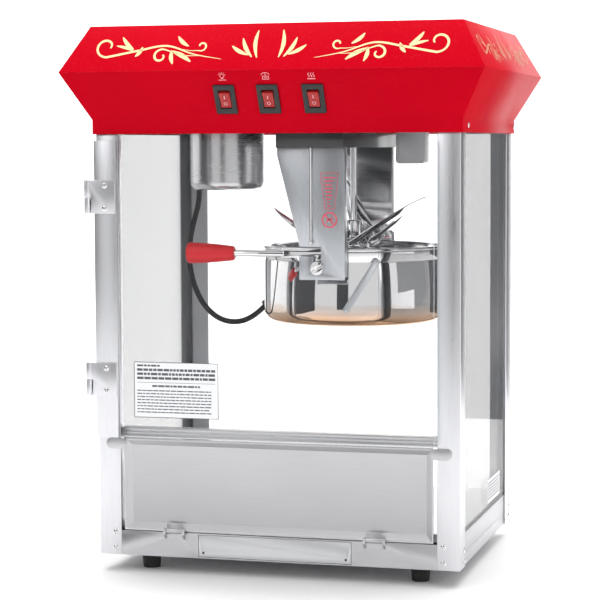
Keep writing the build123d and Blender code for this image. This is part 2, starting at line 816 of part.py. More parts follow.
# Hanger plates: each has a slot, open on the left, that ends in the pivot pin's seat
slot_r = pivot_pin_d / 2 + slot_clear
finger_right = pivot_x - slot_r
hanger_slant_x = finger_left + 0.5
flange_deep = 12.0
for name, end in (("front_hanger_plate", -1), ("rear_hanger_plate", 1)):
    inner_y = end * hanger_y
    outer_y = end * (hanger_y + hanger_plate)
    with BuildPart() as hanger:
        with BuildSketch(Plane.XZ.offset(-max(inner_y, outer_y))):
            with BuildLine():
                Polyline(
                    (hanger_left, bridge_bottom),
                    (hanger_right, bridge_bottom),
                    (hanger_right, hanger_bottom),
                    (finger_left, hanger_bottom),
                    (finger_left, slot_run_bottom),
                    (finger_right, slot_run_bottom),
                    (finger_right, pivot_z),
                    (pivot_x + slot_r, pivot_z),
                    (pivot_x + slot_r, slot_run_top),
                    (hanger_slant_x, slot_run_top),
                    (hanger_left, bridge_bottom - 8.0),
                    close=True,
                )
            make_face()
            with Locations((pivot_x, pivot_z)):
                Circle(slot_r, mode=Mode.SUBTRACT)
        extrude(amount=hanger_plate)
        box_between(
            (hanger_right - hanger_plate, min(inner_y, inner_y - end * flange_deep), hanger_bottom + 3.0),
            (hanger_right, max(inner_y, inner_y - end * flange_deep), bridge_bottom),
        )
    save(hanger, name)

# Keeper rod in front of the front plate, with a ball at its lower end
rod_x = 34.0
rod_y = -hanger_y - hanger_plate - 3.2
rod_low = 398.0
with BuildPart() as keeper_rod:
    with BuildSketch(Plane.XY.offset(rod_low)):
        with Locations((rod_x, rod_y)):
            Circle(1.4)
    extrude(amount=bridge_bottom - rod_low)
    with Locations((rod_x, rod_y, rod_low)):
        Sphere(2.6)
save(keeper_rod, "keeper_rod")

# Drive shaft and its open coupler
with BuildPart() as drive_shaft:
    with BuildSketch(Plane.XY.offset(coupler_bottom + coupler_height)):
        with Locations((kettle_x, 0)):
            Circle(shaft_d / 2)
    extrude(amount=ceiling_z + ceiling_thick + shaft_seat - seat_gap - coupler_bottom - coupler_height)
save(drive_shaft, "drive_shaft")

coupler_roof = 5.0
with BuildPart() as drive_coupler:
    with BuildSketch(Plane.XY.offset(coupler_bottom)):
        with Locations((kettle_x, 0)):
            Circle(coupler_d / 2)
    extrude(amount=coupler_height)
    chamfer(drive_coupler.edges().filter_by(GeomType.CIRCLE), 1.0)
    cut_between(
        (kettle_x - coupler_d, -coupler_slot / 2, coupler_bottom),
        (kettle_x + coupler_d, coupler_slot / 2, coupler_bottom + coupler_height - coupler_roof),
    )
save(drive_coupler, "drive_coupler")

# Kettle: outer shell with a rounded bottom, and the pot that hangs in it by its rolled rim
shell_top = kettle_rim - 3.0
shell_corner = 14.0
with BuildPart() as kettle_shell:
    with BuildSketch(Plane.XY.offset(kettle_bottom)):
        with Locations((kettle_x, 0)):
            Circle(kettle_r)
    extrude(amount=shell_top - kettle_bottom)
    fillet(kettle_shell.edges().sort_by(Axis.Z)[0], shell_corner)
    shell_mouth = kettle_shell.faces().sort_by(Axis.Z)[-1]
    offset(amount=-shell_wall, openings=shell_mouth)
save(kettle_shell, "kettle_shell")

pot_r = kettle_r - shell_wall - 1.0
rim_z = kettle_rim
with BuildPart() as kettle_pot:
    with BuildSketch(Plane.XY.offset(pot_floor)):
        with Locations((kettle_x, 0)):
            Circle(pot_r)
    extrude(amount=kettle_rim - pot_floor)
    fillet(kettle_pot.edges().sort_by(Axis.Z)[0], shell_corner)
    pot_mouth = kettle_pot.faces().sort_by(Axis.Z)[-1]
    offset(amount=-pot_wall, openings=pot_mouth)
    with BuildSketch(Plane.XZ):
        with Locations((kettle_x + pot_r + rim_bead_d / 2 - pot_wall, rim_z)):
            Circle(rim_bead_d / 2)
    revolve(axis=Axis((kettle_x, 0, 0), (0, 0, 1)))
save(kettle_pot, "kettle_pot")

# Heater plate between the shell's bottom and the pot's floor
heater_inset = 20.0
heater_r = kettle_r - heater_inset
with BuildPart() as heater_plate:
    with BuildSketch(Plane.XY.offset(kettle_bottom + shell_wall)):
        with Locations((kettle_x, 0)):
            Circle(heater_r)
    extrude(amount=pot_floor - kettle_bottom - shell_wall)
save(heater_plate, "heater_plate")

# Pivots: a boss on the kettle's front and rear wall, a pin through the slot, and a slotted head
boss_w = 30.0
boss_h = 26.0
boss_out = 2.5
boss_root = kettle_r - 12.0
boss_face = kettle_r + boss_out
head_y = hanger_y + hanger_plate + seat_gap
with BuildPart() as kettle_pivots:
    for end in (-1, 1):
        with BuildSketch(Plane.XZ.offset(-end * boss_root)):
            with Locations((pivot_x, pivot_z)):
                RectangleRounded(boss_w, boss_h, 5.0)
        extrude(amount=-end * (boss_face - boss_root))
    with Locations((kettle_x, 0, pivot_z)):
        Cylinder(kettle_r + running, 2 * boss_h, mode=Mode.SUBTRACT)
    for end in (-1, 1):
        with BuildSketch(Plane.XZ.offset(-end * boss_face)):
            with Locations((pivot_x, pivot_z)):
                Circle(pivot_pin_d / 2)
        extrude(amount=-end * (head_y - boss_face))
        with BuildSketch(Plane.XZ.offset(-end * head_y)):
            with Locations((pivot_x, pivot_z)):
                Circle(pivot_head_d / 2)
        extrude(amount=-end * pivot_head_thick)
        with BuildSketch(Plane.XZ.offset(-end * (head_y + pivot_head_thick))):
            with Locations((pivot_x, pivot_z)):
                Rectangle(pivot_head_d - 3.0, 1.8, rotation=35)
        extrude(amount=end * 1.2, mode=Mode.SUBTRACT)
save(kettle_pivots, "kettle_pivots")

# Handle: lever plate on the front pivot pin, with a rod that carries the grip
lever_top = handle_z + 6.5
lever_low = handle_z - 4.5
lever_eye_r = 9.5
grip_left = grip_right - grip_length
with BuildPart() as kettle_handle:
    with BuildSketch(Plane.XZ.offset(-(handle_y + lever_thick / 2))):
        with BuildLine():
            Polyline(
                (lever_left, lever_low),
                (pivot_x - lever_eye_r, lever_low),
                (pivot_x - lever_eye_r, pivot_z),
                (pivot_x + lever_eye_r, pivot_z),
                (pivot_x + lever_eye_r, lever_top - 5.0),
                (pivot_x + lever_eye_r - 5.0, lever_top),
                (lever_left, lever_top),
                close=True,
            )
        make_face()
        with Locations((pivot_x, pivot_z)):
            Circle(lever_eye_r)
            Circle(pivot_pin_d / 2 + running, mode=Mode.SUBTRACT)
    extrude(amount=lever_thick)
    with BuildSketch(Plane.YZ.offset(grip_left + 6.0)):
        with Locations((handle_y, handle_z)):
            Circle(handle_rod_d / 2)
    extrude(amount=lever_left + 4.0 - grip_left - 6.0)
save(kettle_handle, "kettle_handle")

grip_crown = 3.0
with BuildPart() as handle_grip:
    with BuildSketch(Plane.YZ.offset(grip_left)):
        with Locations((handle_y, handle_z)):
            Circle(grip_d_large / 2)
    with BuildSketch(Plane.YZ.offset(grip_right)):
        with Locations((handle_y, handle_z)):
            Circle(grip_d_small / 2)
    loft()
    fillet(handle_grip.edges().filter_by(GeomType.CIRCLE), grip_crown)
    with Locations((grip_left + 6.0 + grip_length / 2, handle_y, handle_z)):
        Cylinder(handle_rod_d / 2 + running, grip_length, rotation=(0, 90, 0), mode=Mode.SUBTRACT)
save(handle_grip, "handle_grip")

# Crossbar inside the pot's mouth: bearing for the stirrer, and four ears for the flap rods
bar_reach = sqrt((pot_r - pot_wall) ** 2 - (crossbar_width / 2) ** 2) - 0.1
ear_thick = 2.0
ear_reach = 17.0
ear_inset = 24.0
ear_far = kettle_r - ear_inset
hinge_x_left = kettle_x - flap_gap
hinge_x_right = kettle_x + flap_gap
with BuildPart() as lid_crossbar:
    box_between(
        (kettle_x - crossbar_width / 2, -bar_reach, crossbar_top - crossbar_thick),
        (kettle_x + crossbar_width / 2, bar_reach, crossbar_top),
    )
    with Locations((kettle_x, 0, crossbar_top)):
        Cylinder(shaft_d / 2 + running, 4 * crossbar_thick, mode=Mode.SUBTRACT)
    for ear_y in (ear_reach, ear_far):
        for end in (-1, 1):
            with BuildSketch(Plane.XZ.offset(-end * ear_y)):
                with BuildLine():
                    Polyline(
                        (kettle_x - crossbar_width / 2, crossbar_top),
                        (kettle_x + crossbar_width / 2, crossbar_top),
                        (hinge_x_right + 3.0, flap_hinge_z),
                        (hinge_x_right, flap_hinge_z + 3.0),
                        (hinge_x_left, flap_hinge_z + 3.0),
                        (hinge_x_left - 3.0, flap_hinge_z),
                        close=True,
                    )
                make_face()
                with Locations((hinge_x_left, flap_hinge_z), (hinge_x_right, flap_hinge_z)):
                    Circle(flap_rod_d / 2 + running, mode=Mode.SUBTRACT)
            extrude(amount=-end * ear_thick)
save(lid_crossbar, "lid_crossbar")

rod_near = ear_reach - 0.5
rod_far = ear_far + ear_thick + 0.5
with BuildPart() as flap_rods:
    for hinge_x in (hinge_x_left, hinge_x_right):
        for end in (-1, 1):
            with Locations((hinge_x, end * (rod_near + rod_far) / 2, flap_hinge_z)):
                Cylinder(flap_rod_d / 2, rod_far - rod_near, rotation=(90, 0, 0))
save(flap_rods, "flap_rods")

# Lid flaps: half discs raised on their barrels, each with a relief for the drive shaft
flap_r = kettle_r - 0.5
barrel_near = ear_reach + ear_thick + seat_gap
barrel_far = ear_far - seat_gap
flap_root = 4.6
for name, side, rise in (("left_flap", -1, left_flap_raise), ("right_flap", 1, right_flap_raise)):
    hinge_x = kettle_x + side * flap_gap
    flap_plane = Plane(
        origin=(hinge_x, 0, flap_hinge_z),
        x_dir=(side * cos(radians(rise)), 0, sin(radians(rise))),
        z_dir=(-side * sin(radians(rise)), 0, cos(radians(rise))),
    )
    with BuildPart() as flap:
        with BuildSketch(flap_plane.offset(-flap_barrel_r)):
            with Locations((-flap_gap, 0)):
                Circle(flap_r)
            with Locations((flap_root - 2 * flap_r, 0)):
                Rectangle(4 * flap_r, 3 * flap_r, mode=Mode.SUBTRACT)
        extrude(amount=flap_thick)
        with BuildSketch(flap_plane.offset(-flap_barrel_r)):
            for end in (-1, 1):
                with Locations((flap_root / 2 + 0.5, end * (barrel_near + barrel_far) / 2)):
                    Rectangle(flap_root + 1.0, barrel_far - barrel_near)
        extrude(amount=flap_thick)
        for end in (-1, 1):
            with Locations((hinge_x, end * (barrel_near + barrel_far) / 2, flap_hinge_z)):
                Cylinder(flap_barrel_r, barrel_far - barrel_near, rotation=(90, 0, 0))
        with Locations((hinge_x, 0, flap_hinge_z)):
            Cylinder(flap_rod_d / 2 + running, 3 * kettle_r, rotation=(90, 0, 0), mode=Mode.SUBTRACT)
        with BuildSketch(flap_plane.offset(-2 * flap_barrel_r)):
            with Locations((flap_relief_l / 2, 0)):
                RectangleRounded(flap_relief_l, flap_relief_w, flap_relief_w / 2 - 0.5)
            with Locations((flap_relief_l / 4, 0)):
                Rectangle(flap_relief_l / 2, flap_relief_w)
        extrude(amount=4 * flap_barrel_r, mode=Mode.SUBTRACT)
    save(flap, name)

# Stirrer: shaft through the crossbar, a flat head in the coupler, and two low blades
stirrer_low = pot_floor + pot_wall + 0.5
with BuildPart() as stirrer:
    with BuildSketch(Plane.XY.offset(stirrer_low)):
        with Locations((kettle_x, 0)):
            Circle(shaft_d / 2)
    extrude(amount=coupler_bottom - stirrer_low)
    head_low = (kettle_x - stirrer_head_width / 2, -stirrer_head_thick / 2, coupler_bottom)
    head_high = (
        kettle_x + stirrer_head_width / 2, stirrer_head_thick / 2, coupler_bottom + stirrer_head_height
    )
    box_between(head_low, head_high)
    box_between(
        (kettle_x - blade_reach, -blade_thick / 2, stirrer_low + 1.0),
        (kettle_x + blade_reach, blade_thick / 2, stirrer_low + 1.0 + blade_height),
    )
    with BuildSketch(Plane.XY.offset(stirrer_low)):
        with Locations((kettle_x, 0)):
            Circle(shaft_d)
    extrude(amount=blade_height + 3.0)
save(stirrer, "stirrer")

# Strap on the kettle's front wall, leaning from its lower screw up to the rim
strap_low_x = 70.0
strap_high_x = 106.0
strap_low_z = 317.0
strap_high_z = 374.0
strap_w = 8.0
strap_thick = 2.0
strap_mid_x = (strap_low_x + strap_high_x) / 2
strap_turn = asin((strap_mid_x - kettle_x) / kettle_r)
strap_lean = degrees(atan2(strap_high_z - strap_low_z, strap_high_x - strap_low_x))
strap_length = sqrt((strap_high_x - strap_low_x) ** 2 + (strap_high_z - strap_low_z) ** 2)
strap_plane = Plane(
    origin=(strap_mid_x, -kettle_r * cos(strap_turn), (strap_low_z + strap_high_z) / 2),
    x_dir=(cos(strap_turn), sin(strap_turn), 0),
    z_dir=(sin(strap_turn), -cos(strap_turn), 0),
)
with BuildPart() as kettle_strap:
    with BuildSketch(strap_plane.offset(seat_gap)):
        SlotOverall(strap_length + strap_w, strap_w, rotation=strap_lean)
    extrude(amount=strap_thick)
    for end in (-1, 1):
        reach = end * strap_length / 2
        spot = (reach * cos(radians(strap_lean)), reach * sin(radians(strap_lean)))
        with BuildSketch(strap_plane.offset(seat_gap + strap_thick)):
            with Locations(spot):
                Circle(strap_w / 2 - 0.8)
        extrude(amount=1.6)
save(kettle_strap, "kettle_strap")

# Socket can under the ceiling, where the kettle's cord plugs in
can_wall = 1.2
can_corner = 10.0
with BuildPart() as socket_can:
    with BuildSketch(Plane.XY.offset(can_bottom)):
        with Locations((can_x, can_y)):
            Circle(can_r)
    extrude(amount=ceiling_z - can_bottom)
    fillet(socket_can.edges().sort_by(Axis.Z)[0], can_corner)
    can_mouth = socket_can.faces().sort_by(Axis.Z)[-1]
    offset(amount=-can_wall, openings=can_mouth)
save(socket_can, "socket_can")

# Junction box under the ceiling at the right rear
junction_gap = 9.0
junction_x = hanger_right + junction_gap
junction_w = 38.0
junction_y = 100.0
junction_d = 28.0
junction_low = 490.0
with BuildPart() as junction_box:
    box_between(
        (junction_x, junction_y, junction_low),
        (junction_x + junction_w, junction_y + junction_d, ceiling_z)
    )
    low_edges = junction_box.edges().filter_by(Axis.Y).group_by(Axis.Z)[0]
    fillet(low_edges, 5.0)
    with Locations(Plane(origin=(junction_x + 6.0, junction_y, junction_low + 13.0), z_dir=(0, -1, 0))):
        Cylinder(2.5, 1.5, align=(Align.CENTER, Align.CENTER, Align.MIN))
save(junction_box, "junction_box")

# Kettle cord: from the can's floor, round below the grip and back to the kettle's gland.
# Its points are a hand-chosen list.
cord_points = [
    (-131.5, -55.0, 459.0),
    (-131.5, -55.0, 444.0),
    (-139.5, -54.0, 420.0),
    (-146.0, -51.0, 395.0),
    (-148.5, -46.0, 368.0),
    (-145.0, -39.0, 339.0),
    (-134.0, -31.0, 312.0),
    (-115.5, -22.0, 294.0),
    (-93.0, -12.5, 290.5),
    (-73.0, -5.0, 300.5),
    (-63.0, -1.5, 311.5),
]


def corner_radii(points):
    """Fillet radius at each inner point: 0.45 of the shorter run over the tangent of half the turn."""
    radii = []
    for before, here, after in zip(points, points[1:], points[2:]):
        run_in = Vector(*here) - Vector(*before)
        run_out = Vector(*after) - Vector(*here)
        turn = radians(run_in.get_angle(run_out))
        radii.append(0.45 * min(run_in.length, run_out.length) / tan(turn / 2))
    return radii


cord_radii = corner_radii(cord_points)
print("cord radii:", [round(r, 1) for r in cord_radii])
with BuildPart() as kettle_cord:
    with BuildLine() as cord_path:
        FilletPolyline(*cord_points, radius=cord_radii)
    with BuildSketch(Plane(origin=cord_path.line @ 0, z_dir=cord_path.line % 0)):
        Circle(cord_d / 2)
    sweep()
save(kettle_cord, "kettle_cord")
cord_length = sum(edge.length for edge in cord_path.edges())
cord_area = Circle(cord_d / 2, mode=Mode.PRIVATE).area
print("cord length:", round(cord_length, 1))
print("cord volume over section times length:", round(kettle_cord.part.volume / cord_area / cord_length, 4))

# Gland on the kettle's side, in line with the cord's last run
gland_run = 60.0          # long enough to reach the shell, which trims it
gland_out = Vector(*cord_points[-1])
gland_way = (Vector(*cord_points[-1]) - Vector(*cord_points[-2])).normalized()
with BuildPart() as cord_gland:
    with BuildSketch(Plane(origin=gland_out, z_dir=gland_way)):
        Circle(gland_d / 2)
    extrude(amount=gland_run)
    with Locations((kettle_x, 0, pot_floor)):
        Cylinder(kettle_r + running, 4 * gland_run, mode=Mode.SUBTRACT)
save(cord_gland, "cord_gland")
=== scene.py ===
import json
import math

import bmesh
import bpy
from mathutils import Matrix, Vector


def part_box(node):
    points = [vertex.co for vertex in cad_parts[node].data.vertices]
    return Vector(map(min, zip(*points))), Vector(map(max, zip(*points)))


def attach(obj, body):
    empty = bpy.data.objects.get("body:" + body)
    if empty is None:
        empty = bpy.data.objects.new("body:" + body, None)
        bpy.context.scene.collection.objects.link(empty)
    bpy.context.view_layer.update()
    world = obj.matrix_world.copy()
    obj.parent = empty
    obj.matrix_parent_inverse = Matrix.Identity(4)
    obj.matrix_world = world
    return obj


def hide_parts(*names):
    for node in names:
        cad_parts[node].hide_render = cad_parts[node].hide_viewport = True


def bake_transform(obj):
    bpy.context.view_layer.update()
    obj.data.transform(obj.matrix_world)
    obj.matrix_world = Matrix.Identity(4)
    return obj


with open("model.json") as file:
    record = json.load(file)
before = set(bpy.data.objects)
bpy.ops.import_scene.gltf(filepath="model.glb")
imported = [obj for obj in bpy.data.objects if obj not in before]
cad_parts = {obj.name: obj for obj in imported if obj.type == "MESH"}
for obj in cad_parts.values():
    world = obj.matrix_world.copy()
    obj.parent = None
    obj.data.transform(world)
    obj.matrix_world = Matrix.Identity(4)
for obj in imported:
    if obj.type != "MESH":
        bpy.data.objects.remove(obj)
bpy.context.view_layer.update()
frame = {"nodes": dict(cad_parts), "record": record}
record = frame["record"]
slotOf = {part["node"]: part["material_slot"] for part in record["subparts"]}
bodyOf = {node: body for body, nodes in record["behaviour"]["bodies"].items() for node in nodes}
mm = 0.001

cameraSettings = {"place": (0.66711, -2.49245, 0.51262), "yaw": 15.3516, "pitch": 4.2743,
                  "roll": -0.2386, "lens": 123.32, "sensor": 36.0}


def makeCamera(settings):
    yaw, pitch, roll = (math.radians(settings[key]) for key in ("yaw", "pitch", "roll"))
    data = bpy.data.cameras.new("camera")
    data.lens = settings["lens"]
    data.sensor_width = settings["sensor"]
    camera = bpy.data.objects.new("camera", data)
    bpy.context.collection.objects.link(camera)
    turn = Matrix.Rotation(yaw, 4, "Z") @ Matrix.Rotation(math.pi / 2 - pitch, 4, "X")
    camera.matrix_world = Matrix.Translation(settings["place"]) @ turn @ Matrix.Rotation(roll, 4, "Z")
    bpy.context.scene.camera = camera


makeCamera(cameraSettings)

cordSettings = {"width": 0.007, "sides": 16, "length": 0.243}
cordRoute = [  # from the can's floor, round below the grip, to the gland
    (-0.1315, -0.0550, 0.4590), (-0.1315, -0.0550, 0.4440), (-0.1395, -0.0540, 0.4200),
    (-0.1460, -0.0510, 0.3950), (-0.1485, -0.0460, 0.3680), (-0.1450, -0.0390, 0.3390),
    (-0.1340, -0.0310, 0.3120), (-0.1155, -0.0220, 0.2940), (-0.0930, -0.0125, 0.2905),
    (-0.0730, -0.0050, 0.3005), (-0.0630, -0.0015, 0.3115),
]


def splineCurve(name, route):
    curve = bpy.data.curves.new(name, "CURVE")
    curve.dimensions = "3D"
    curve.resolution_u = 10
    spline = curve.splines.new("NURBS")
    spline.points.add(len(route) - 1)
    for point, place in zip(spline.points, route):
        point.co = (*place, 1.0)
    spline.order_u = 3
    spline.use_endpoint_u = True
    return curve


def splinePath(name, route):
    holder = bpy.data.objects.new(name + "_line", splineCurve(name + "_line", route))
    bpy.context.collection.objects.link(holder)
    line = bpy.data.meshes.new_from_object(holder.evaluated_get(bpy.context.evaluated_depsgraph_get()))
    path = [tuple(vertex.co) for vertex in line.vertices]
    bpy.data.objects.remove(holder)
    return path


def addMesh(name, verts, faces, smooth=True):
    mesh = bpy.data.meshes.new(name)
    mesh.from_pydata([tuple(v) for v in verts], [], faces)
    mesh.update()
    if smooth:
        mesh.shade_smooth()
    piece = bpy.data.objects.new(name, mesh)
    bpy.context.collection.objects.link(piece)
    return piece


def tidyNormals(piece, merge=1e-6):
    work = bmesh.new()
    work.from_mesh(piece.data)
    bmesh.ops.remove_doubles(work, verts=work.verts, dist=merge)
    bmesh.ops.recalc_face_normals(work, faces=work.faces)
    work.to_mesh(piece.data)
    work.free()
    return piece


def tubeAlong(name, path, radii, sides):
    points = [Vector(p) for p in path]
    verts, faces = [], []
    side = Vector((0, 1, 0))
    for index, point in enumerate(points):
        ahead = points[min(index + 1, len(points) - 1)] - points[max(index - 1, 0)]
        ahead.normalize()
        side = (side - ahead * side.dot(ahead)).normalized()
        other = ahead.cross(side)
        for step in range(sides):
            angle = 2 * math.pi * step / sides
            verts.append(point + (side * math.cos(angle) + other * math.sin(angle)) * radii[index])
    for ring in range(len(points) - 1):
        for step in range(sides):
            here, there = ring * sides, (ring + 1) * sides
            nxt = (step + 1) % sides
            faces.append((here + step, here + nxt, there + nxt, there + step))
    faces.append(tuple(range(sides))[::-1])
    faces.append(tuple(range(len(verts) - sides, len(verts))))
    return tidyNormals(addMesh(name, verts, faces))


cordPath = splinePath("kettle_lead", cordRoute)
cordRadii = [cordSettings["width"] / 2] * len(cordPath)
kettleLead = tubeAlong("kettle_lead", cordPath, cordRadii, cordSettings["sides"])
print("camera and cord set")


def newGroup(name, inputs, outputs):
    group = bpy.data.node_groups.new(name, "ShaderNodeTree")
    for label, kind, value in inputs:
        socket = group.interface.new_socket(name=label, in_out="INPUT", socket_type=kind)
        if value is not None:
            socket.default_value = value
    for label, kind in outputs:
        group.interface.new_socket(name=label, in_out="OUTPUT", socket_type=kind)
    return group, group.nodes.new("NodeGroupInput"), group.nodes.new("NodeGroupOutput")


def mathNode(tree, operation, first, second, clamp=False):
    node = tree.nodes.new("ShaderNodeMath")
    node.operation = operation
    node.use_clamp = clamp
    for socket, value in zip(node.inputs, (first, second)):
        if isinstance(value, (int, float)):
            socket.default_value = value
        else:
            tree.links.new(value, socket)
    return node.outputs[0]


def mixColor(tree, factor, first, second):
    node = tree.nodes.new("ShaderNodeMix")
    node.data_type = "RGBA"
    for socket, value in ((node.inputs[0], factor), (node.inputs[6], first), (node.inputs[7], second)):
        if isinstance(value, (int, float)):
            socket.default_value = value
        elif isinstance(value, (tuple, list)):
            socket.default_value = (*value[:3], 1.0)
        else:
            tree.links.new(value, socket)
    return node.outputs[2]


def mapRange(tree, value, lowIn, highIn, lowOut, highOut):
    node = tree.nodes.new("ShaderNodeMapRange")
    tree.links.new(value, node.inputs[0])
    for index, number in zip((1, 2, 3, 4), (lowIn, highIn, lowOut, highOut)):
        if isinstance(number, (int, float)):
            node.inputs[index].default_value = number
        else:
            tree.links.new(number, node.inputs[index])
    return node.outputs[0]


def stretchedNoise(tree, stretch, scale, detail=4.0):
    coords = tree.nodes.new("ShaderNodeTexCoord")
    mapping = tree.nodes.new("ShaderNodeMapping")
    noise = tree.nodes.new("ShaderNodeTexNoise")
    tree.links.new(coords.outputs["Object"], mapping.inputs["Vector"])
    tree.links.new(mapping.outputs[0], noise.inputs["Vector"])
    if isinstance(stretch, tuple):
        mapping.inputs["Scale"].default_value = stretch
    else:
        tree.links.new(stretch, mapping.inputs["Scale"])
    if isinstance(scale, (int, float)):
        noise.inputs["Scale"].default_value = scale
    else:
        tree.links.new(scale, noise.inputs["Scale"])
    noise.inputs["Detail"].default_value = detail
    return noise.outputs["Fac"]


def makeGrainGroup():  # long fine scratches along one direction
    group, inputs, outputs = newGroup(
        "rolledGrain",
        [("Stretch", "NodeSocketVector", (1.0, 40.0, 40.0)), ("Scale", "NodeSocketFloat", 30.0),
         ("Strength", "NodeSocketFloat", 0.2), ("Roughness", "NodeSocketFloat", 0.3)],
        [("Roughness", "NodeSocketFloat"), ("Normal", "NodeSocketVector"), ("Mask", "NodeSocketFloat")])
    grain = stretchedNoise(group, inputs.outputs["Stretch"], inputs.outputs["Scale"], 6.0)
    clouds = stretchedNoise(group, (1.0, 1.0, 1.0), 9.0, 3.0)
    bump = group.nodes.new("ShaderNodeBump")
    bump.inputs["Distance"].default_value = 0.00004
    group.links.new(inputs.outputs["Strength"], bump.inputs["Strength"])
    group.links.new(grain, bump.inputs["Height"])
    swing = mathNode(group, "MULTIPLY", mathNode(group, "SUBTRACT", grain, 0.5), 0.22)
    smear = mathNode(group, "MULTIPLY", mathNode(group, "SUBTRACT", clouds, 0.5), 0.14)
    rough = mathNode(group, "ADD", mathNode(group, "ADD", inputs.outputs["Roughness"], swing), smear, True)
    group.links.new(rough, outputs.inputs["Roughness"])
    group.links.new(bump.outputs[0], outputs.inputs["Normal"])
    group.links.new(grain, outputs.inputs["Mask"])
    return group


def makeWearGroup():  # bright worn edges and faint handling marks
    group, inputs, outputs = newGroup(
        "edgeWear",
        [("Width", "NodeSocketFloat", 0.0012), ("Amount", "NodeSocketFloat", 0.5)],
        [("Mask", "NodeSocketFloat"), ("Smudge", "NodeSocketFloat")])
    bevel = group.nodes.new("ShaderNodeBevel")
    bevel.samples = 4
    group.links.new(inputs.outputs["Width"], bevel.inputs["Radius"])
    geometry = group.nodes.new("ShaderNodeNewGeometry")
    dot = group.nodes.new("ShaderNodeVectorMath")
    dot.operation = "DOT_PRODUCT"
    group.links.new(bevel.outputs[0], dot.inputs[0])
    group.links.new(geometry.outputs["Normal"], dot.inputs[1])
    edge = mapRange(group, dot.outputs["Value"], 0.995, 0.90, 0.0, 1.0)
    breakUp = mapRange(group, stretchedNoise(group, (1, 1, 1), 120.0), 0.42, 0.62, 0.0, 1.0)
    patchy = mathNode(group, "MULTIPLY", edge, breakUp)
    mask = mathNode(group, "MULTIPLY", patchy, inputs.outputs["Amount"], True)
    smudge = mapRange(group, stretchedNoise(group, (1, 1, 1), 14.0, 5.0), 0.45, 0.75, 0.0, 1.0)
    group.links.new(mask, outputs.inputs["Mask"])
    group.links.new(smudge, outputs.inputs["Smudge"])
    return group


def makeDustGroup():  # fine specks, thicker on upward faces
    group, inputs, outputs = newGroup(
        "fineDust", [("Amount", "NodeSocketFloat", 0.1), ("Scale", "NodeSocketFloat", 220.0)],
        [("Mask", "NodeSocketFloat")])
    fine = stretchedNoise(group, (1, 1, 1), inputs.outputs["Scale"])
    specks = mapRange(group, fine, 0.55, 0.75, 0.0, 1.0)
    geometry = group.nodes.new("ShaderNodeNewGeometry")
    split = group.nodes.new("ShaderNodeSeparateXYZ")
    group.links.new(geometry.outputs["Normal"], split.inputs[0])
    upward = mapRange(group, split.outputs["Z"], 0.0, 1.0, 0.35, 1.0)
    settled = mathNode(group, "MULTIPLY", specks, upward)
    mask = mathNode(group, "MULTIPLY", settled, inputs.outputs["Amount"], True)
    group.links.new(mask, outputs.inputs["Mask"])
    return group


grainGroup = makeGrainGroup()
wearGroup = makeWearGroup()
dustGroup = makeDustGroup()


def place(tree, group, **values):
    node = tree.nodes.new("ShaderNodeGroup")
    node.node_tree = group
    for label, value in values.items():
        node.inputs[label].default_value = value
    return node


def newMaterial(name, color, **sockets):
    material = bpy.data.materials.new(name)
    material.use_nodes = True
    tree = material.node_tree
    shader = tree.nodes["Principled BSDF"]
    shader.inputs["Base Color"].default_value = (*color, 1.0)
    for label, value in sockets.items():
        shader.inputs[label.replace("_", " ")].default_value = value
    material.diffuse_color = (*color, 1.0)
    return material, tree, shader


def grainedMetal(name, color, rough, stretch, scale=30.0, strength=0.25, metallic=1.0,
                 bright=(0.95, 0.95, 0.96)):
    material, tree, shader = newMaterial(name, color, Metallic=metallic)
    grain = place(tree, grainGroup, Stretch=stretch, Scale=scale, Strength=strength, Roughness=rough)
    wear = place(tree, wearGroup, Width=0.0008, Amount=0.6)
    dust = place(tree, dustGroup, Amount=0.06, Scale=260.0)
    streaked = mixColor(tree, mapRange(tree, grain.outputs["Mask"], 0.3, 0.7, 0.0, 0.35), color,
                        tuple(c * 0.88 for c in color))
    worn = mixColor(tree, wear.outputs["Mask"], streaked, bright)
    dusty = mixColor(tree, dust.outputs["Mask"], worn, (0.7, 0.68, 0.64))
    tree.links.new(dusty, shader.inputs["Base Color"])
    tree.links.new(grain.outputs["Roughness"], shader.inputs["Roughness"])
    tree.links.new(grain.outputs["Normal"], shader.inputs["Normal"])
    return material


def polishedMetal(name, color, rough, tint=None):
    material, tree, shader = newMaterial(name, color, Metallic=1.0)
    grain = place(tree, grainGroup, Stretch=(1.0, 1.0, 24.0), Scale=22.0, Strength=0.05, Roughness=rough)
    dust = place(tree, dustGroup, Amount=0.05, Scale=180.0)
    surface = mixColor(tree, dust.outputs["Mask"], color, tuple(c * 0.8 for c in color))
    if tint:
        coords = tree.nodes.new("ShaderNodeTexCoord")
        split = tree.nodes.new("ShaderNodeSeparateXYZ")
        tree.links.new(coords.outputs["Object"], split.inputs[0])
        blotch = stretchedNoise(tree, (1.0, 1.0, 2.0), 16.0, 5.0)
        edge = mathNode(tree, "ADD", split.outputs["Z"], mathNode(tree, "MULTIPLY", blotch, -0.010))
        burnt = mapRange(tree, edge, tint["low"], tint["high"], 1.0, 0.0)
        surface = mixColor(tree, burnt, surface, tint["color"])
    tree.links.new(surface, shader.inputs["Base Color"])
    tree.links.new(grain.outputs["Roughness"], shader.inputs["Roughness"])
    tree.links.new(grain.outputs["Normal"], shader.inputs["Normal"])
    return material


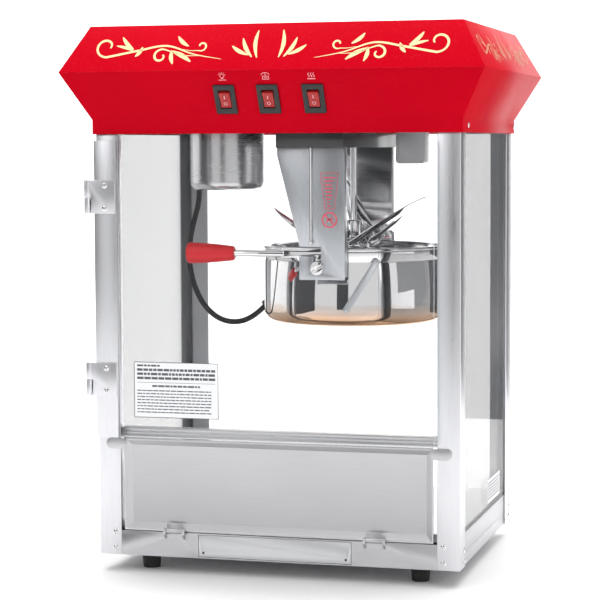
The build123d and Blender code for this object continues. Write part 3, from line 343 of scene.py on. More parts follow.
def paintedSheet(name, color, rough, deep, coat=0.6, shine=0.5, worn=(0.3, 0.3, 0.3)):
    material, tree, shader = newMaterial(name, color, Roughness=rough)
    shader.inputs["Coat Weight"].default_value = coat
    shader.inputs["Coat Roughness"].default_value = 0.06
    shader.inputs["Specular IOR Level"].default_value = shine
    wear = place(tree, wearGroup, Width=0.0010, Amount=0.45)
    dust = place(tree, dustGroup, Amount=0.05, Scale=300.0)
    tone = mapRange(tree, stretchedNoise(tree, (1, 1, 1), 5.0), 0.35, 0.65, 0.0, 0.5)
    surface = mixColor(tree, tone, color, deep)
    surface = mixColor(tree, wear.outputs["Mask"], surface, worn)
    surface = mixColor(tree, dust.outputs["Mask"], surface, worn)
    bump = tree.nodes.new("ShaderNodeBump")
    bump.inputs["Distance"].default_value = 0.00005
    bump.inputs["Strength"].default_value = 0.25
    tree.links.new(stretchedNoise(tree, (1, 1, 1), 420.0), bump.inputs["Height"])
    tree.links.new(surface, shader.inputs["Base Color"])
    tree.links.new(bump.outputs[0], shader.inputs["Normal"])
    rise = mathNode(tree, "ADD", rough, mathNode(tree, "MULTIPLY", wear.outputs["Smudge"], 0.10), True)
    tree.links.new(rise, shader.inputs["Roughness"])
    return material


def mouldedPlastic(name, color, rough, texture=600.0, bumpStrength=0.3, pale=0.12, shine=0.5):
    material, tree, shader = newMaterial(name, color, Roughness=rough)
    shader.inputs["Specular IOR Level"].default_value = shine
    wear = place(tree, wearGroup, Width=0.0006, Amount=0.5)
    dust = place(tree, dustGroup, Amount=0.10, Scale=340.0)
    surface = mixColor(tree, wear.outputs["Mask"], color, tuple(min(1.0, c + pale) for c in color))
    surface = mixColor(tree, dust.outputs["Mask"], surface, (0.5, 0.48, 0.45))
    bump = tree.nodes.new("ShaderNodeBump")
    bump.inputs["Distance"].default_value = 0.00006
    bump.inputs["Strength"].default_value = bumpStrength
    tree.links.new(stretchedNoise(tree, (1, 1, 1), texture), bump.inputs["Height"])
    tree.links.new(surface, shader.inputs["Base Color"])
    tree.links.new(bump.outputs[0], shader.inputs["Normal"])
    rise = mathNode(tree, "ADD", rough, mathNode(tree, "MULTIPLY", wear.outputs["Smudge"], 0.12), True)
    tree.links.new(rise, shader.inputs["Roughness"])
    return material


def clearPane(name, color, rough, alpha):
    material, tree, shader = newMaterial(name, color, Metallic=0.0, IOR=1.45)
    smudge = mapRange(tree, stretchedNoise(tree, (1.0, 1.0, 0.6), 7.0, 5.0), 0.5, 0.8, 0.0, 0.05)
    tree.links.new(mathNode(tree, "ADD", rough, smudge, True), shader.inputs["Roughness"])
    streak = mapRange(tree, stretchedNoise(tree, (1.0, 1.0, 0.3), 3.0, 2.0), 0.3, 0.7, 0.0, 1.0)
    surface = mixColor(tree, streak, color, tuple(c * 0.97 for c in color))
    tree.links.new(surface, shader.inputs["Base Color"])
    shader.inputs["Transmission Weight"].default_value = 0.0
    shader.inputs["Alpha"].default_value = alpha
    return material


finishes = {
    "post": {"color": (0.73, 0.735, 0.76), "rough": 0.32},
    "sheet": {"color": (0.72, 0.73, 0.74), "rough": 0.34},
    "polish": {"color": (0.86, 0.86, 0.87), "rough": 0.035},
    "red": {"color": (0.57, 0.001, 0.012), "deep": (0.49, 0.0008, 0.009)},
    "cream": {"color": (0.93, 0.80, 0.42)},
    "tint": {"low": 0.297, "high": 0.318, "color": (0.62, 0.36, 0.20)},
}
mats = {
    "aluminium": grainedMetal("satin_aluminium", finishes["post"]["color"], 0.32, (40.0, 40.0, 1.0)),
    "rubber": mouldedPlastic("foot_rubber", (0.015, 0.015, 0.016), 0.7, 300.0, 0.6, 0.05),
    "galvanised": grainedMetal("zinc_sheet", (0.60, 0.61, 0.62), 0.42, (1.0, 1.0, 1.0), 60.0, 0.3),
    "deck_steel": grainedMetal("deck_steel", finishes["sheet"]["color"], 0.36, (1.0, 40.0, 40.0)),
    "case_glass": clearPane("case_glass", (0.90, 0.93, 0.94), 0.03, 0.10),
    "door_acrylic": clearPane("door_acrylic", (0.70, 0.73, 0.75), 0.03, 0.016),
    "canopy_red": paintedSheet("canopy_paint", finishes["red"]["color"], 0.30, finishes["red"]["deep"],
                               0.0, 0.02, (0.90, 0.20, 0.22)),
    "black_plastic": mouldedPlastic("black_moulding", (0.012, 0.012, 0.013), 0.32),
    "rocker_red": mouldedPlastic("rocker_moulding", (0.42, 0.010, 0.010), 0.22),
    "motor_grey": paintedSheet("motor_paint", (0.22, 0.23, 0.24), 0.45, (0.18, 0.19, 0.2), 0.1),
    "bridge_black": paintedSheet("bridge_paint", (0.02, 0.02, 0.023), 0.34, (0.014, 0.014, 0.016), 0.3),
    "hanger_steel": grainedMetal("hanger_steel", (0.55, 0.57, 0.60), 0.30, (40.0, 1.0, 1.0)),
    "polished_steel": polishedMetal("polished_steel", finishes["polish"]["color"], 0.05),
    "heater_iron": mouldedPlastic("cast_iron", (0.08, 0.08, 0.08), 0.6),
    "grip_red": mouldedPlastic("grip_moulding", (0.62, 0.004, 0.010), 0.26, 500.0, 0.2, 0.06, 0.28),
    "cord_black": mouldedPlastic("cord_jacket", (0.010, 0.010, 0.011), 0.38, 900.0, 0.2, 0.04, 0.2),
    "box_white": paintedSheet("box_paint", (0.96, 0.96, 0.97), 0.36, (0.80, 0.81, 0.83), 0.2, 0.5,
                              (0.6, 0.6, 0.6)),
    "lamp_ceramic": mouldedPlastic("lamp_ceramic", (0.82, 0.79, 0.72), 0.25),
    "bulb_glass": clearPane("bulb_glass", (0.98, 0.95, 0.86), 0.2, 0.6),
    "screw_chrome": polishedMetal("screw_plating", (0.80, 0.80, 0.80), 0.14),
}
mats["kettle_skin"] = polishedMetal("kettle_skin", finishes["polish"]["color"], 0.035, finishes["tint"])
mats["bowl_skin"] = polishedMetal("bowl_skin", (0.74, 0.74, 0.75), 0.12)
mats["can_skin"] = grainedMetal("can_skin", (0.62, 0.62, 0.63), 0.24, (1.0, 1.0, 40.0))
mats["rail_skin"] = grainedMetal("rail_skin", (0.56, 0.56, 0.58), 0.36, (1.0, 40.0, 40.0))
mats["mirror_plate"] = polishedMetal("mirror_plate", (0.78, 0.79, 0.81), 0.08)
# painted shade: a dark grey copy of the case glass for the side pane, so its shaded look is painted into
# its colour
mats["shaded_side_pane"] = clearPane("shaded_side_pane", (0.10, 0.105, 0.11), 0.03, 0.42)
# painted highlight: bright, half-opaque strips standing for the cut edges of the acrylic pane
mats["pane_edge_highlight"] = clearPane("pane_edge_highlight", (0.60, 0.68, 0.68), 0.15, 0.75)
mats["cream_ink"] = mouldedPlastic("cream_ink", finishes["cream"]["color"], 0.35)
# painted shade: a darker, browner copy of the cream ink for the same flourish on the side slopes
mats["shaded_side_ink"] = mouldedPlastic("shaded_side_ink", (0.56, 0.24, 0.10), 0.35)
mats["sign_ink"] = mouldedPlastic("sign_ink", (0.90, 0.45, 0.48), 0.35)
mats["grey_ink"] = mouldedPlastic("grey_ink", (0.10, 0.11, 0.13), 0.5)
mats["red_ink"] = mouldedPlastic("red_ink", (0.80, 0.06, 0.12), 0.4)
mats["label_film"] = mouldedPlastic("label_film", (0.90, 0.91, 0.92), 0.4)
longways = ("front_rail", "rear_rail", "side_rails", "front_sill", "drop_panel", "base_pan",
            "ceiling_plate", "panel_hinge_tabs")
for name, node in frame["nodes"].items():
    node.data.materials.clear()
    # the side glass takes the dark painted-shade copy of the case glass
    look = "shaded_side_pane" if name == "side_glass" else "rail_skin" if name in longways else slotOf[name]
    node.data.materials.append(mats[look])
print("materials made")


def finishPiece(piece, body, slotName, material=None, *replaced):
    if material:
        piece.data.materials.clear()
        piece.data.materials.append(mats[material])
    if replaced:
        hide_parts(*replaced)
    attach(piece, body)
    return piece


# sheet-metal and moulded pieces: a merged copy of the CAD shape with softened edges


def softened(node, width, segments=2, angle=30.0, dissolve=True):
    source = frame["nodes"][node].data
    piece = bpy.data.objects.new(node + "_skin", source.copy())
    bpy.context.collection.objects.link(piece)
    work = bmesh.new()
    work.from_mesh(piece.data)
    bmesh.ops.remove_doubles(work, verts=work.verts, dist=2e-6)
    if dissolve:
        bmesh.ops.dissolve_limit(work, angle_limit=math.radians(0.6), verts=work.verts, edges=work.edges)
    work.to_mesh(piece.data)
    work.free()
    bevel = piece.modifiers.new("soft edges", "BEVEL")
    bevel.width = width
    bevel.segments = segments
    bevel.limit_method = "ANGLE"
    bevel.angle_limit = math.radians(angle)
    bevel.use_clamp_overlap = True
    bevel.miter_outer = "MITER_ARC"
    view = piece.evaluated_get(bpy.context.evaluated_depsgraph_get())
    final = bpy.data.meshes.new_from_object(view)
    piece.modifiers.clear()
    piece.data = final
    final.shade_smooth()
    final.set_sharp_from_angle(angle=math.radians(38))
    return piece


softSettings = {
    "canopy_shell": 0.0009, "canopy_top": 0.0006, "front_left_post": 0.0006, "front_right_post": 0.0006,
    "rear_left_post": 0.0006, "rear_right_post": 0.0006, "front_sill": 0.0004, "drop_panel": 0.0007,
    "front_rail": 0.0004, "drawer_front": 0.0005, "drawer_tray": 0.0003, "base_pan": 0.0004,
    "side_rails": 0.0003, "rear_rail": 0.0003, "bridge": 0.0006, "front_hanger_plate": 0.0004,
    "rear_hanger_plate": 0.0004, "door_stile": 0.0004, "door_hinge_leaves": 0.0005,
    "case_hinge_leaves": 0.0005, "panel_hinge_tabs": 0.0005, "left_flap": 0.0004, "right_flap": 0.0004,
    "lid_crossbar": 0.0004, "kettle_handle": 0.0008, "kettle_strap": 0.0005, "kettle_pivots": 0.0005,
    "gear_motor": 0.0008, "junction_box": 0.0008, "warmer_switch_body": 0.0007, "motor_switch_body": 0.0007,
    "heater_switch_body": 0.0007, "warmer_rocker": 0.0006, "motor_rocker": 0.0006, "heater_rocker": 0.0006,
    "mains_inlet": 0.0005, "stirrer": 0.0005, "drive_coupler": 0.0004, "lamp_holder": 0.0004,
}
ownLook = {"rear_hanger_plate": "mirror_plate"}
for nodeName, width in softSettings.items():
    skin = softened(nodeName, width)
    look = mats[ownLook.get(nodeName, "rail_skin" if nodeName in longways else slotOf[nodeName])]
    skin.data.materials.clear()
    skin.data.materials.append(look)
    finishPiece(skin, bodyOf[nodeName], slotOf[nodeName], None, nodeName)
print("sheet pieces softened")


def turned(name, profile, centre, axis="Z", sides=128):
    rings = []
    verts, faces = [], []
    for radius, along in profile:
        if radius < 1e-7:
            rings.append([len(verts)])
            verts.append((0.0, 0.0, along))
            continue
        rings.append(list(range(len(verts), len(verts) + sides)))
        for step in range(sides):
            angle = 2 * math.pi * step / sides
            verts.append((radius * math.cos(angle), radius * math.sin(angle), along))
    for low, high in zip(rings, rings[1:]):
        for step in range(sides):
            nxt = (step + 1) % sides
            lower = [low[step % len(low)], low[nxt % len(low)]]
            upper = [high[nxt % len(high)], high[step % len(high)]]
            corners = list(dict.fromkeys(lower + upper))
            if len(corners) > 2:
                faces.append(corners)
    turn = {"Z": Matrix.Identity(3), "X": Matrix.Rotation(math.pi / 2, 3, "Y"),
            "Y": Matrix.Rotation(-math.pi / 2, 3, "X")}[axis]
    placed = [turn @ Vector(v) + Vector(centre) for v in verts]
    piece = tidyNormals(addMesh(name, placed, faces))
    piece.data.shade_smooth()
    piece.data.set_sharp_from_angle(angle=math.radians(40))
    return piece


def bend(cx, cz, radius, start, end, steps=8):  # points of an arc in a turning profile
    points = []
    for step in range(steps + 1):
        angle = math.radians(start + (end - start) * step / steps)
        points.append((cx + radius * math.cos(angle), cz + radius * math.sin(angle)))
    return points


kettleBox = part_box("kettle_shell")
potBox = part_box("kettle_pot")
kettleMiddle = ((kettleBox[0][0] + kettleBox[1][0]) / 2, 0.0, 0.0)
kettleSettings = {"radius": 0.112, "corner": 0.014, "wall": 0.0012, "low": kettleBox[0][2],
                  "high": kettleBox[1][2], "bead": 0.0025, "rim": 0.388}


def kettleOutside(s):
    r, c, w = s["radius"], s["corner"], s["wall"]
    profile = [(0.0, s["low"]), (r - c, s["low"])]
    profile += bend(r - c, s["low"] + c, c, -90, 0)[1:]
    profile += [(r, s["high"] - 0.012), (r - 0.0006, s["high"] - 0.0112), (r, s["high"] - 0.0104)]
    profile += [(r, s["high"]), (r - w, s["high"]), (r - w, s["low"] + c)]
    profile += bend(r - c, s["low"] + c, c - w, 0, -90)[1:]
    return profile + [(0.0, s["low"] + w)]


kettleSkin = turned("kettle_skin", kettleOutside(kettleSettings), kettleMiddle)
finishPiece(kettleSkin, "kettle", "polished_steel", "kettle_skin", "kettle_shell")


def potShape(s, floor):
    r, w, c = s["radius"] - s["wall"] - 0.001, 0.0015, 0.014
    rim = s["rim"]
    profile = [(0.0, floor), (r - c, floor)]
    profile += bend(r - c, floor + c, c, -90, 0)[1:]
    profile += [(r, rim - 0.0026)]
    profile += bend(r + s["bead"] - w, rim, s["bead"], -130, 140, 14)
    profile += [(r - w, rim - 0.001), (r - w, floor + c)]
    profile += bend(r - c, floor + c, c - w, 0, -90)[1:]
    return profile + [(0.0, floor + w)]


bowlSkin = turned("bowl_skin", potShape(kettleSettings, potBox[0][2]), kettleMiddle)
finishPiece(bowlSkin, "kettle", "polished_steel", "bowl_skin", "kettle_pot")

gripSettings = {"large": 0.01275, "small": 0.0090, "round": 0.0028, "swell": 0.0007}
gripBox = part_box("handle_grip")


def gripShape(s, length):
    profile = [(0.0, 0.0), (s["large"] - s["round"], 0.0)]
    profile += bend(s["large"] - s["round"], s["round"], s["round"], -90, 0)[1:]
    for step in range(1, 12):
        part = step / 12
        radius = s["large"] + (s["small"] - s["large"]) * part + s["swell"] * math.sin(math.pi * part)
        profile.append((radius, s["round"] + (length - 2 * s["round"]) * part))
    profile += bend(s["small"] - s["round"], length - s["round"], s["round"], 0, 90)
    return profile + [(0.0, length)]


gripMiddle = (gripBox[0][0], (gripBox[0][1] + gripBox[1][1]) / 2, (gripBox[0][2] + gripBox[1][2]) / 2)
gripLength = gripBox[1][0] - gripBox[0][0]
grip = turned("handle_grip_skin", gripShape(gripSettings, gripLength), gripMiddle, "X", 64)
finishPiece(grip, "kettle", "grip_red", "grip_red", "handle_grip")

canSettings = {"radius": 0.046, "corner": 0.010, "wall": 0.0012}
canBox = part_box("socket_can")


def canShape(s, low, high):
    r, c, w = s["radius"], s["corner"], s["wall"]
    profile = [(0.0, low), (r - c, low)] + bend(r - c, low + c, c, -90, 0)[1:]
    profile += [(r, high), (r - w, high), (r - w, low + c)]
    return profile + bend(r - c, low + c, c - w, 0, -90)[1:] + [(0.0, low + w)]


canMiddle = ((canBox[0][0] + canBox[1][0]) / 2, (canBox[0][1] + canBox[1][1]) / 2, 0.0)
can = turned("socket_can_skin", canShape(canSettings, canBox[0][2], canBox[1][2]), canMiddle)
finishPiece(can, "case", "hanger_steel", "can_skin", "socket_can")


def footShape(box, top, bottom, edge=0.0015):
    low, high = box[0][2], box[1][2]
    profile = [(0.0, low), (bottom - edge, low)] + bend(bottom - edge, low + edge, edge, -90, 0)[1:]
    return profile + [(top - 0.001, high - 0.002), (top - 0.001, high - 0.0005), (0.0, high - 0.0005)]


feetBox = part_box("feet")
footSpots = [(x, y) for x in (feetBox[0][0] + 0.013, feetBox[1][0] - 0.013)
             for y in (feetBox[0][1] + 0.013, feetBox[1][1] - 0.013)]
footMeshes = [turned("foot", footShape(feetBox, 0.013, 0.0105), (x, y, 0.0), "Z", 48) for x, y in footSpots]


def joined(name, objects):
    work = bmesh.new()
    for piece in objects:
        work.from_mesh(piece.data)
        bpy.data.objects.remove(piece)
    mesh = bpy.data.meshes.new(name)
    work.to_mesh(mesh)
    work.free()
    mesh.shade_smooth()
    mesh.set_sharp_from_angle(angle=math.radians(40))
    whole = bpy.data.objects.new(name, mesh)
    bpy.context.collection.objects.link(whole)
    return whole


finishPiece(joined("rubber_feet", footMeshes), "case", "rubber", "rubber", "feet")

# the cord: a fixed tube on its route ending at the gland, in place of the CAD cord
kettleLead.data.materials.append(mats["cord_black"])
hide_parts("kettle_cord")
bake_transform(kettleLead)
print("turned pieces and cord placed")


def newTree(name, inputs):
    tree = bpy.data.node_groups.new(name, "GeometryNodeTree")
    tree.interface.new_socket(name="Geometry", in_out="INPUT", socket_type="NodeSocketGeometry")
    for label, kind in inputs:
        tree.interface.new_socket(name=label, in_out="INPUT", socket_type=kind)
    tree.interface.new_socket(name="Geometry", in_out="OUTPUT", socket_type="NodeSocketGeometry")
    return tree, tree.nodes.new("NodeGroupInput"), tree.nodes.new("NodeGroupOutput")


def runTree(name, base, tree, values):
    modifier = base.modifiers.new(name, "NODES")
    modifier.node_group = tree
    for item in tree.interface.items_tree:
        if item.item_type == "SOCKET" and item.in_out == "INPUT" and item.name in values:
            modifier[item.identifier] = values[item.name]
    view = base.evaluated_get(bpy.context.evaluated_depsgraph_get())
    mesh = bpy.data.meshes.new_from_object(view)
    bpy.data.objects.remove(base)
    result = bpy.data.objects.new(name, mesh)
    bpy.context.collection.objects.link(result)
    mesh.shade_smooth()
    mesh.set_sharp_from_angle(angle=math.radians(40))
    return result


def endTree(tree, geometry, output, material):
    realize = tree.nodes.new("GeometryNodeRealizeInstances")
    paint = tree.nodes.new("GeometryNodeSetMaterial")
    paint.inputs["Material"].default_value = material
    tree.links.new(geometry, realize.inputs[0])
    tree.links.new(realize.outputs[0], paint.inputs["Geometry"])
    tree.links.new(paint.outputs[0], output.inputs[0])


def screwHead(name, sides=24, rings=9):  # unit head: radius 1, facing +Z, with a cross recess
    verts, faces = [(0, 0, -0.15)], []
    for ring in range(1, rings + 1):
        radius = ring / rings
        height = 0.46 * math.sqrt(max(0.0, 1 - (radius * 0.93) ** 2)) + 0.02
        for step in range(sides):
            angle = 2 * math.pi * step / sides
            x, y = radius * math.cos(angle), radius * math.sin(angle)
            inCross = radius < 0.60 and min(abs(x), abs(y)) < 0.13
            verts.append((x, y, 0.12 if inCross else height))
    turns = [2 * math.pi * step / sides for step in range(sides)]
    verts += [(math.cos(angle), math.sin(angle), -0.02) for angle in turns]
    for step in range(sides):
        nxt = (step + 1) % sides
        faces.append((0, 1 + step, 1 + nxt))
        for ring in range(rings):
            here, there = 1 + ring * sides, 1 + (ring + 1) * sides
            faces.append((here + step, there + step, there + nxt, here + nxt))
    faces.append(tuple(range(1 + rings * sides, 1 + (rings + 1) * sides))[::-1])
    return tidyNormals(addMesh(name, verts, faces))


def makeScrewTree(material):
    tree, start, end = newTree("screw heads", [("Head", "NodeSocketObject"), ("Radius", "NodeSocketFloat"),
                                               ("Seed", "NodeSocketInt")])
    head = tree.nodes.new("GeometryNodeObjectInfo")
    facing = tree.nodes.new("GeometryNodeInputNamedAttribute")
    facing.data_type = "FLOAT_VECTOR"
    facing.inputs["Name"].default_value = "facing"
    align = tree.nodes.new("FunctionNodeAlignRotationToVector")
    align.axis = "Z"
    spin = tree.nodes.new("FunctionNodeRandomValue")
    spin.inputs["Max"].default_value = 6.28
    twist = tree.nodes.new("FunctionNodeRotateRotation")
    twist.rotation_space = "LOCAL"
    angle = tree.nodes.new("ShaderNodeCombineXYZ")
    toRotation = tree.nodes.new("FunctionNodeEulerToRotation")
    onPoints = tree.nodes.new("GeometryNodeInstanceOnPoints")
    links = tree.links
    links.new(start.outputs["Head"], head.inputs["Object"])
    links.new(facing.outputs["Attribute"], align.inputs["Vector"])
    links.new(start.outputs["Seed"], spin.inputs["Seed"])
    links.new(spin.outputs[1], angle.inputs["Z"])
    links.new(angle.outputs[0], toRotation.inputs[0])
    links.new(align.outputs[0], twist.inputs["Rotation"])
    links.new(toRotation.outputs[0], twist.inputs["Rotate By"])
    links.new(start.outputs["Geometry"], onPoints.inputs["Points"])
    links.new(head.outputs["Geometry"], onPoints.inputs["Instance"])
    links.new(twist.outputs[0], onPoints.inputs["Rotation"])
    links.new(start.outputs["Radius"], onPoints.inputs["Scale"])
    endTree(tree, onPoints.outputs[0], end, material)
    return tree


def nodeIslands(node):  # (middle of the base, outward way) of each separate solid of a node
    work = bmesh.new()
    work.from_mesh(frame["nodes"][node].data)
    bmesh.ops.remove_doubles(work, verts=work.verts, dist=2e-6)
    seen, found = set(), []
    for first in work.verts:
        if first in seen:
            continue
        stack, island = [first], []
        seen.add(first)
        while stack:
            vert = stack.pop()
            island.append(vert.co.copy())
            for edge in vert.link_edges:
                other = edge.other_vert(vert)
                if other not in seen:
                    seen.add(other)
                    stack.append(other)
        low = Vector([min(v[i] for v in island) for i in range(3)])
        high = Vector([max(v[i] for v in island) for i in range(3)])
        found.append((low, high))
    work.free()
    return found


def screwField(name, body, node, radius, seed):
    verts, ways = [], []
    for low, high in nodeIslands(node):
        size = high - low
        flat = min(range(3), key=lambda i: size[i])
        middle = (low + high) / 2
        outward = 1 if middle[flat] > 0 else -1
        middle[flat] = low[flat] if outward > 0 else high[flat]
        way = Vector((0, 0, 0))
        way[flat] = outward
        verts.append(middle)
        ways.append(way)
    base = addMesh(name, verts, [], False)
    attribute = base.data.attributes.new("facing", "FLOAT_VECTOR", "POINT")
    for item, way in zip(attribute.data, ways):
        item.vector = way
    head = screwHead("head_pattern")
    head.hide_render = True
    result = runTree(name, base, makeScrewTree(mats["screw_chrome"]),
                     {"Head": head, "Radius": radius, "Seed": seed})
    bpy.data.objects.remove(head)
    return finishPiece(result, body, "screw_chrome", None, node)


screwField("case_screw_heads", "case", "case_screws", 0.0033, 4)
screwField("door_screw_heads", "door", "door_hinge_screws", 0.0035, 7)
print("screws placed")

# printed marks: thin inked shapes laid on a plane given by its origin, its right and its up


def printPlane(origin, right, up):
    right, up = Vector(right).normalized(), Vector(up).normalized()
    return {"origin": Vector(origin), "right": right, "up": up, "out": right.cross(up)}


def smoothLine(points, steps=7):  # a Catmull-Rom line through flat points
    ends = [points[0]] + list(points) + [points[-1]]
    line = []
    for a, b, c, d in zip(ends, ends[1:], ends[2:], ends[3:]):
        for step in range(steps):
            t = step / steps
            line.append(tuple(0.5 * (
                2 * b[i] + (c[i] - a[i]) * t + (2 * a[i] - 5 * b[i] + 4 * c[i] - d[i]) * t * t
                + (3 * b[i] - a[i] - 3 * c[i] + d[i]) * t ** 3) for i in range(2)))
    return line + [tuple(points[-1])]


class Ink:
    def __init__(self, plane, lift=0.00012):
        self.plane, self.lift, self.verts, self.faces = plane, lift, [], []

    def add(self, flat, faces):
        base = len(self.verts)
        spot = self.plane
        for u, v in flat:
            flatSpot = spot["origin"] + spot["right"] * u * mm + spot["up"] * v * mm
            self.verts.append(flatSpot + spot["out"] * self.lift)
        self.faces += [tuple(base + i for i in face) for face in faces]

    def stroke(self, points, widths, steps=7, mirror=1):
        line = [(u * mirror, v) for u, v in (smoothLine(points, steps) if steps else points)]
        flat = []
        for index, (u, v) in enumerate(line):
            before, after = line[max(0, index - 1)], line[min(len(line) - 1, index + 1)]
            along = Vector((after[0] - before[0], after[1] - before[1])).normalized()
            part = index / (len(line) - 1) * (len(widths) - 1)
            low = min(int(part), len(widths) - 2)
            half = (widths[low] + (widths[low + 1] - widths[low]) * (part - low)) / 2
            flat += [(u - along.y * half, v + along.x * half), (u + along.y * half, v - along.x * half)]
        self.add(flat, [(2 * i, 2 * i + 1, 2 * i + 3, 2 * i + 2) for i in range(len(line) - 1)])

    def bar(self, left, low, right, high):
        self.add([(left, low), (right, low), (right, high), (left, high)], [(0, 1, 2, 3)])

    def ring(self, u, v, radius, width, sides=32):
        angles = [2 * math.pi * i / sides for i in range(sides + 1)]
        turn = [(u + radius * math.cos(angle), v + radius * math.sin(angle)) for angle in angles]
        self.stroke(turn, [width, width], 0)

    def frame(self, left, low, right, high, width):
        self.bar(left, low, right, low + width)
        self.bar(left, high - width, right, high)
        self.bar(left, low + width, left + width, high - width)
        self.bar(right - width, low + width, right, high - width)

    def finish(self, name, body, material, slotName):
        work = bmesh.new()
        for vert in self.verts:
            work.verts.new(vert)
        work.verts.ensure_lookup_table()
        for face in self.faces:
            made = work.faces.new([work.verts[i] for i in face])
            made.normal_update()
            if made.normal.dot(self.plane["out"]) < 0:
                made.normal_flip()
        mesh = bpy.data.meshes.new(name)
        work.to_mesh(mesh)
        work.free()
        piece = bpy.data.objects.new(name, mesh)
        bpy.context.collection.objects.link(piece)
        return finishPiece(piece, body, slotName, material)


def curl(centre, outer, inner, start, sweep, steps=10):  # a spiral that tightens as it turns
    points = []
    for step in range(steps + 1):
        part = step / steps
        radius = outer + (inner - outer) * part
        angle = math.radians(start + sweep * part)
        points.append((centre[0] + radius * math.cos(angle), centre[1] + radius * math.sin(angle)))
    return points


def leaf(root, length, lean, bend, width):  # a bowed leaf from its root, with its greatest width
    along = (math.cos(math.radians(lean)), math.sin(math.radians(lean)))
    points = []
    for step in range(5):
        part = step / 4
        side = bend * math.sin(math.pi * part)
        points.append((root[0] + along[0] * length * part - along[1] * side,
                       root[1] + along[1] * length * part + along[0] * side))
    return points, width


scrollLines = {  # millimetres on the slope: right of its middle, up from the ridge
    "stem": ([(-56, 15), (-90, 22), (-125, 34), (-160, 28)] + curl((-200, 34), 15, 5, -60, -320),
             (0.5, 2.5, 3, 2.5, 3, 3, 2.5, 2)),
    "lower": ([(-84, 20), (-104, 21)] + curl((-131, 20), 10, 3, 60, 340), (0.5, 2.5, 3, 2.5, 2)),
    "upper": ([(-106, 29), (-94, 27)] + curl((-82, 33), 7, 2.5, -120, 300), (0.5, 2, 2.5, 2)),
}
leafShapes = [
    leaf((-98, 33), 20, 137, 1.5, 5), leaf((-166, 30), 23, 133, 1.5, 5), leaf((-166, 28), 23, 162, -1, 4),
    leaf((-155, 33), 15, -120, 1, 5), leaf((-118, 28), 19, -80, -1.5, 5), leaf((-119, 27), 30, -30, 1.5, 6),
]
leafFan = [leaf((-24, 20), 24, 149, 1.5, 5), leaf((-19, 17), 29, 118, 2, 5), leaf((-13, 16), 37, 93, 3, 5)]
leafWidths = (0.2, 0.75, 1.0, 0.8, 0.2)


def flourish(ink, shift=0.0, scale=1.0, fan=True):
    for side in (1, -1):
        for points, widths in scrollLines.values():
            moved = [((u + shift) * scale, v) for u, v in points]
            ink.stroke(moved, widths, 7, side)
        for points, width in leafShapes:
            moved = [((u + shift) * scale, v) for u, v in points]
            ink.stroke(moved, [w * width for w in leafWidths], 7, side)
        for points, width in leafFan if fan else []:
            ink.stroke([(u * scale, v) for u, v in points], [w * width for w in leafWidths], 7, side)
    return ink


ridge, crown = (0.256, 0.208, 0.601), 0.055
upFront, upSide = (0, 0.030, crown), (0.030, 0, crown)
flourish(Ink(printPlane((0, -ridge[1], ridge[2]), (1, 0, 0), upFront))).finish(
    "front_flourish", "case", "cream_ink", "canopy_red")
# the side flourishes are inked in the painted-shade copy of the cream ink
for name, side in (("right_flourish", 1), ("left_flourish", -1)):
    plane = printPlane((side * ridge[0], 0, ridge[2]), (0, side, 0), (-side * upSide[0], 0, crown))
    flourish(Ink(plane), 12.0, 0.80).finish(name, "case", "shaded_side_ink", "canopy_red")

bandTop = (0, -0.1778, 0.545)
upSwitch = (0, -0.0302, 0.056)


def pictogram(kind, x):
    ink = Ink(printPlane((x * mm, bandTop[1], bandTop[2]), (1, 0, 0), upSwitch))
    middle = 55.0
    if kind == "warmer":  # a lamp with rays over a line
        ink.ring(0, middle + 1.2, 2.4, 0.55)
        ink.bar(-1.1, middle - 2.6, 1.1, middle - 1.6)
        for angle in (20, 55, 90, 125, 160):
            way = (math.cos(math.radians(angle)), math.sin(math.radians(angle)))
            ray = [(way[0] * reach, middle + 1.2 + way[1] * reach) for reach in (3.4, 4.9)]
            ink.stroke(ray, (0.5, 0.5), 0)
        ink.bar(-4.6, middle - 4.4, 4.6, middle - 3.7)
    elif kind == "motor":  # a pot with a turning arm
        ink.frame(-4.0, middle - 4.0, 4.0, middle + 0.6, 0.6)
        arm = [(-5.4, middle + 2.0), (-2.0, middle + 4.6), (2.4, middle + 4.4), (5.0, middle + 2.2)]
        ink.stroke(arm, (0.6, 0.6))
        ink.bar(-0.35, middle + 0.6, 0.35, middle + 4.4)
        ink.bar(-2.4, middle - 2.2, 2.4, middle - 1.5)
    else:  # heat waves over a plate
        for shift in (-3.0, 0.0, 3.0):
            ink.stroke([(shift, middle - 2.0), (shift + 0.9, middle - 0.2), (shift - 0.6, middle + 1.8),
                        (shift + 0.5, middle + 4.2)], (0.5, 0.8, 0.5))
        ink.bar(-4.8, middle - 4.2, 4.8, middle - 3.3)
    ink.finish(kind + "_sign", "case", "sign_ink", "canopy_red")


def rockerFace(node):  # plane of a rocker's visible face, its two halves taken together
    mesh = frame["nodes"][node].data
    outward = Vector((0, -0.88, -0.475))
    found = [poly for poly in mesh.polygons if poly.normal.dot(outward) > 0.9]
    area = sum(poly.area for poly in found)
    normal = sum((poly.normal * poly.area for poly in found), Vector()).normalized()
    middle = sum((poly.center * poly.area for poly in found), Vector()) / area
    reach = max((mesh.vertices[i].co - middle).dot(normal) for poly in found for i in poly.vertices)
    return middle + normal * reach, normal


for kind, x in (("warmer", -54.0), ("motor", -1.5), ("heater", 53.0)):
    pictogram(kind, x)
    middle, normal = rockerFace(kind + "_rocker")
    up = Vector((1, 0, 0)).cross(normal) * -1
    ink = Ink(printPlane(middle, (1, 0, 0), up), 0.00006)
    ink.bar(-0.55, 2.0, 0.55, 6.4)
    ink.ring(0, -4.3, 1.9, 0.7)
    ink.finish(kind + "_rocker_marks", kind + "_rocker", "sign_ink", "rocker_red")


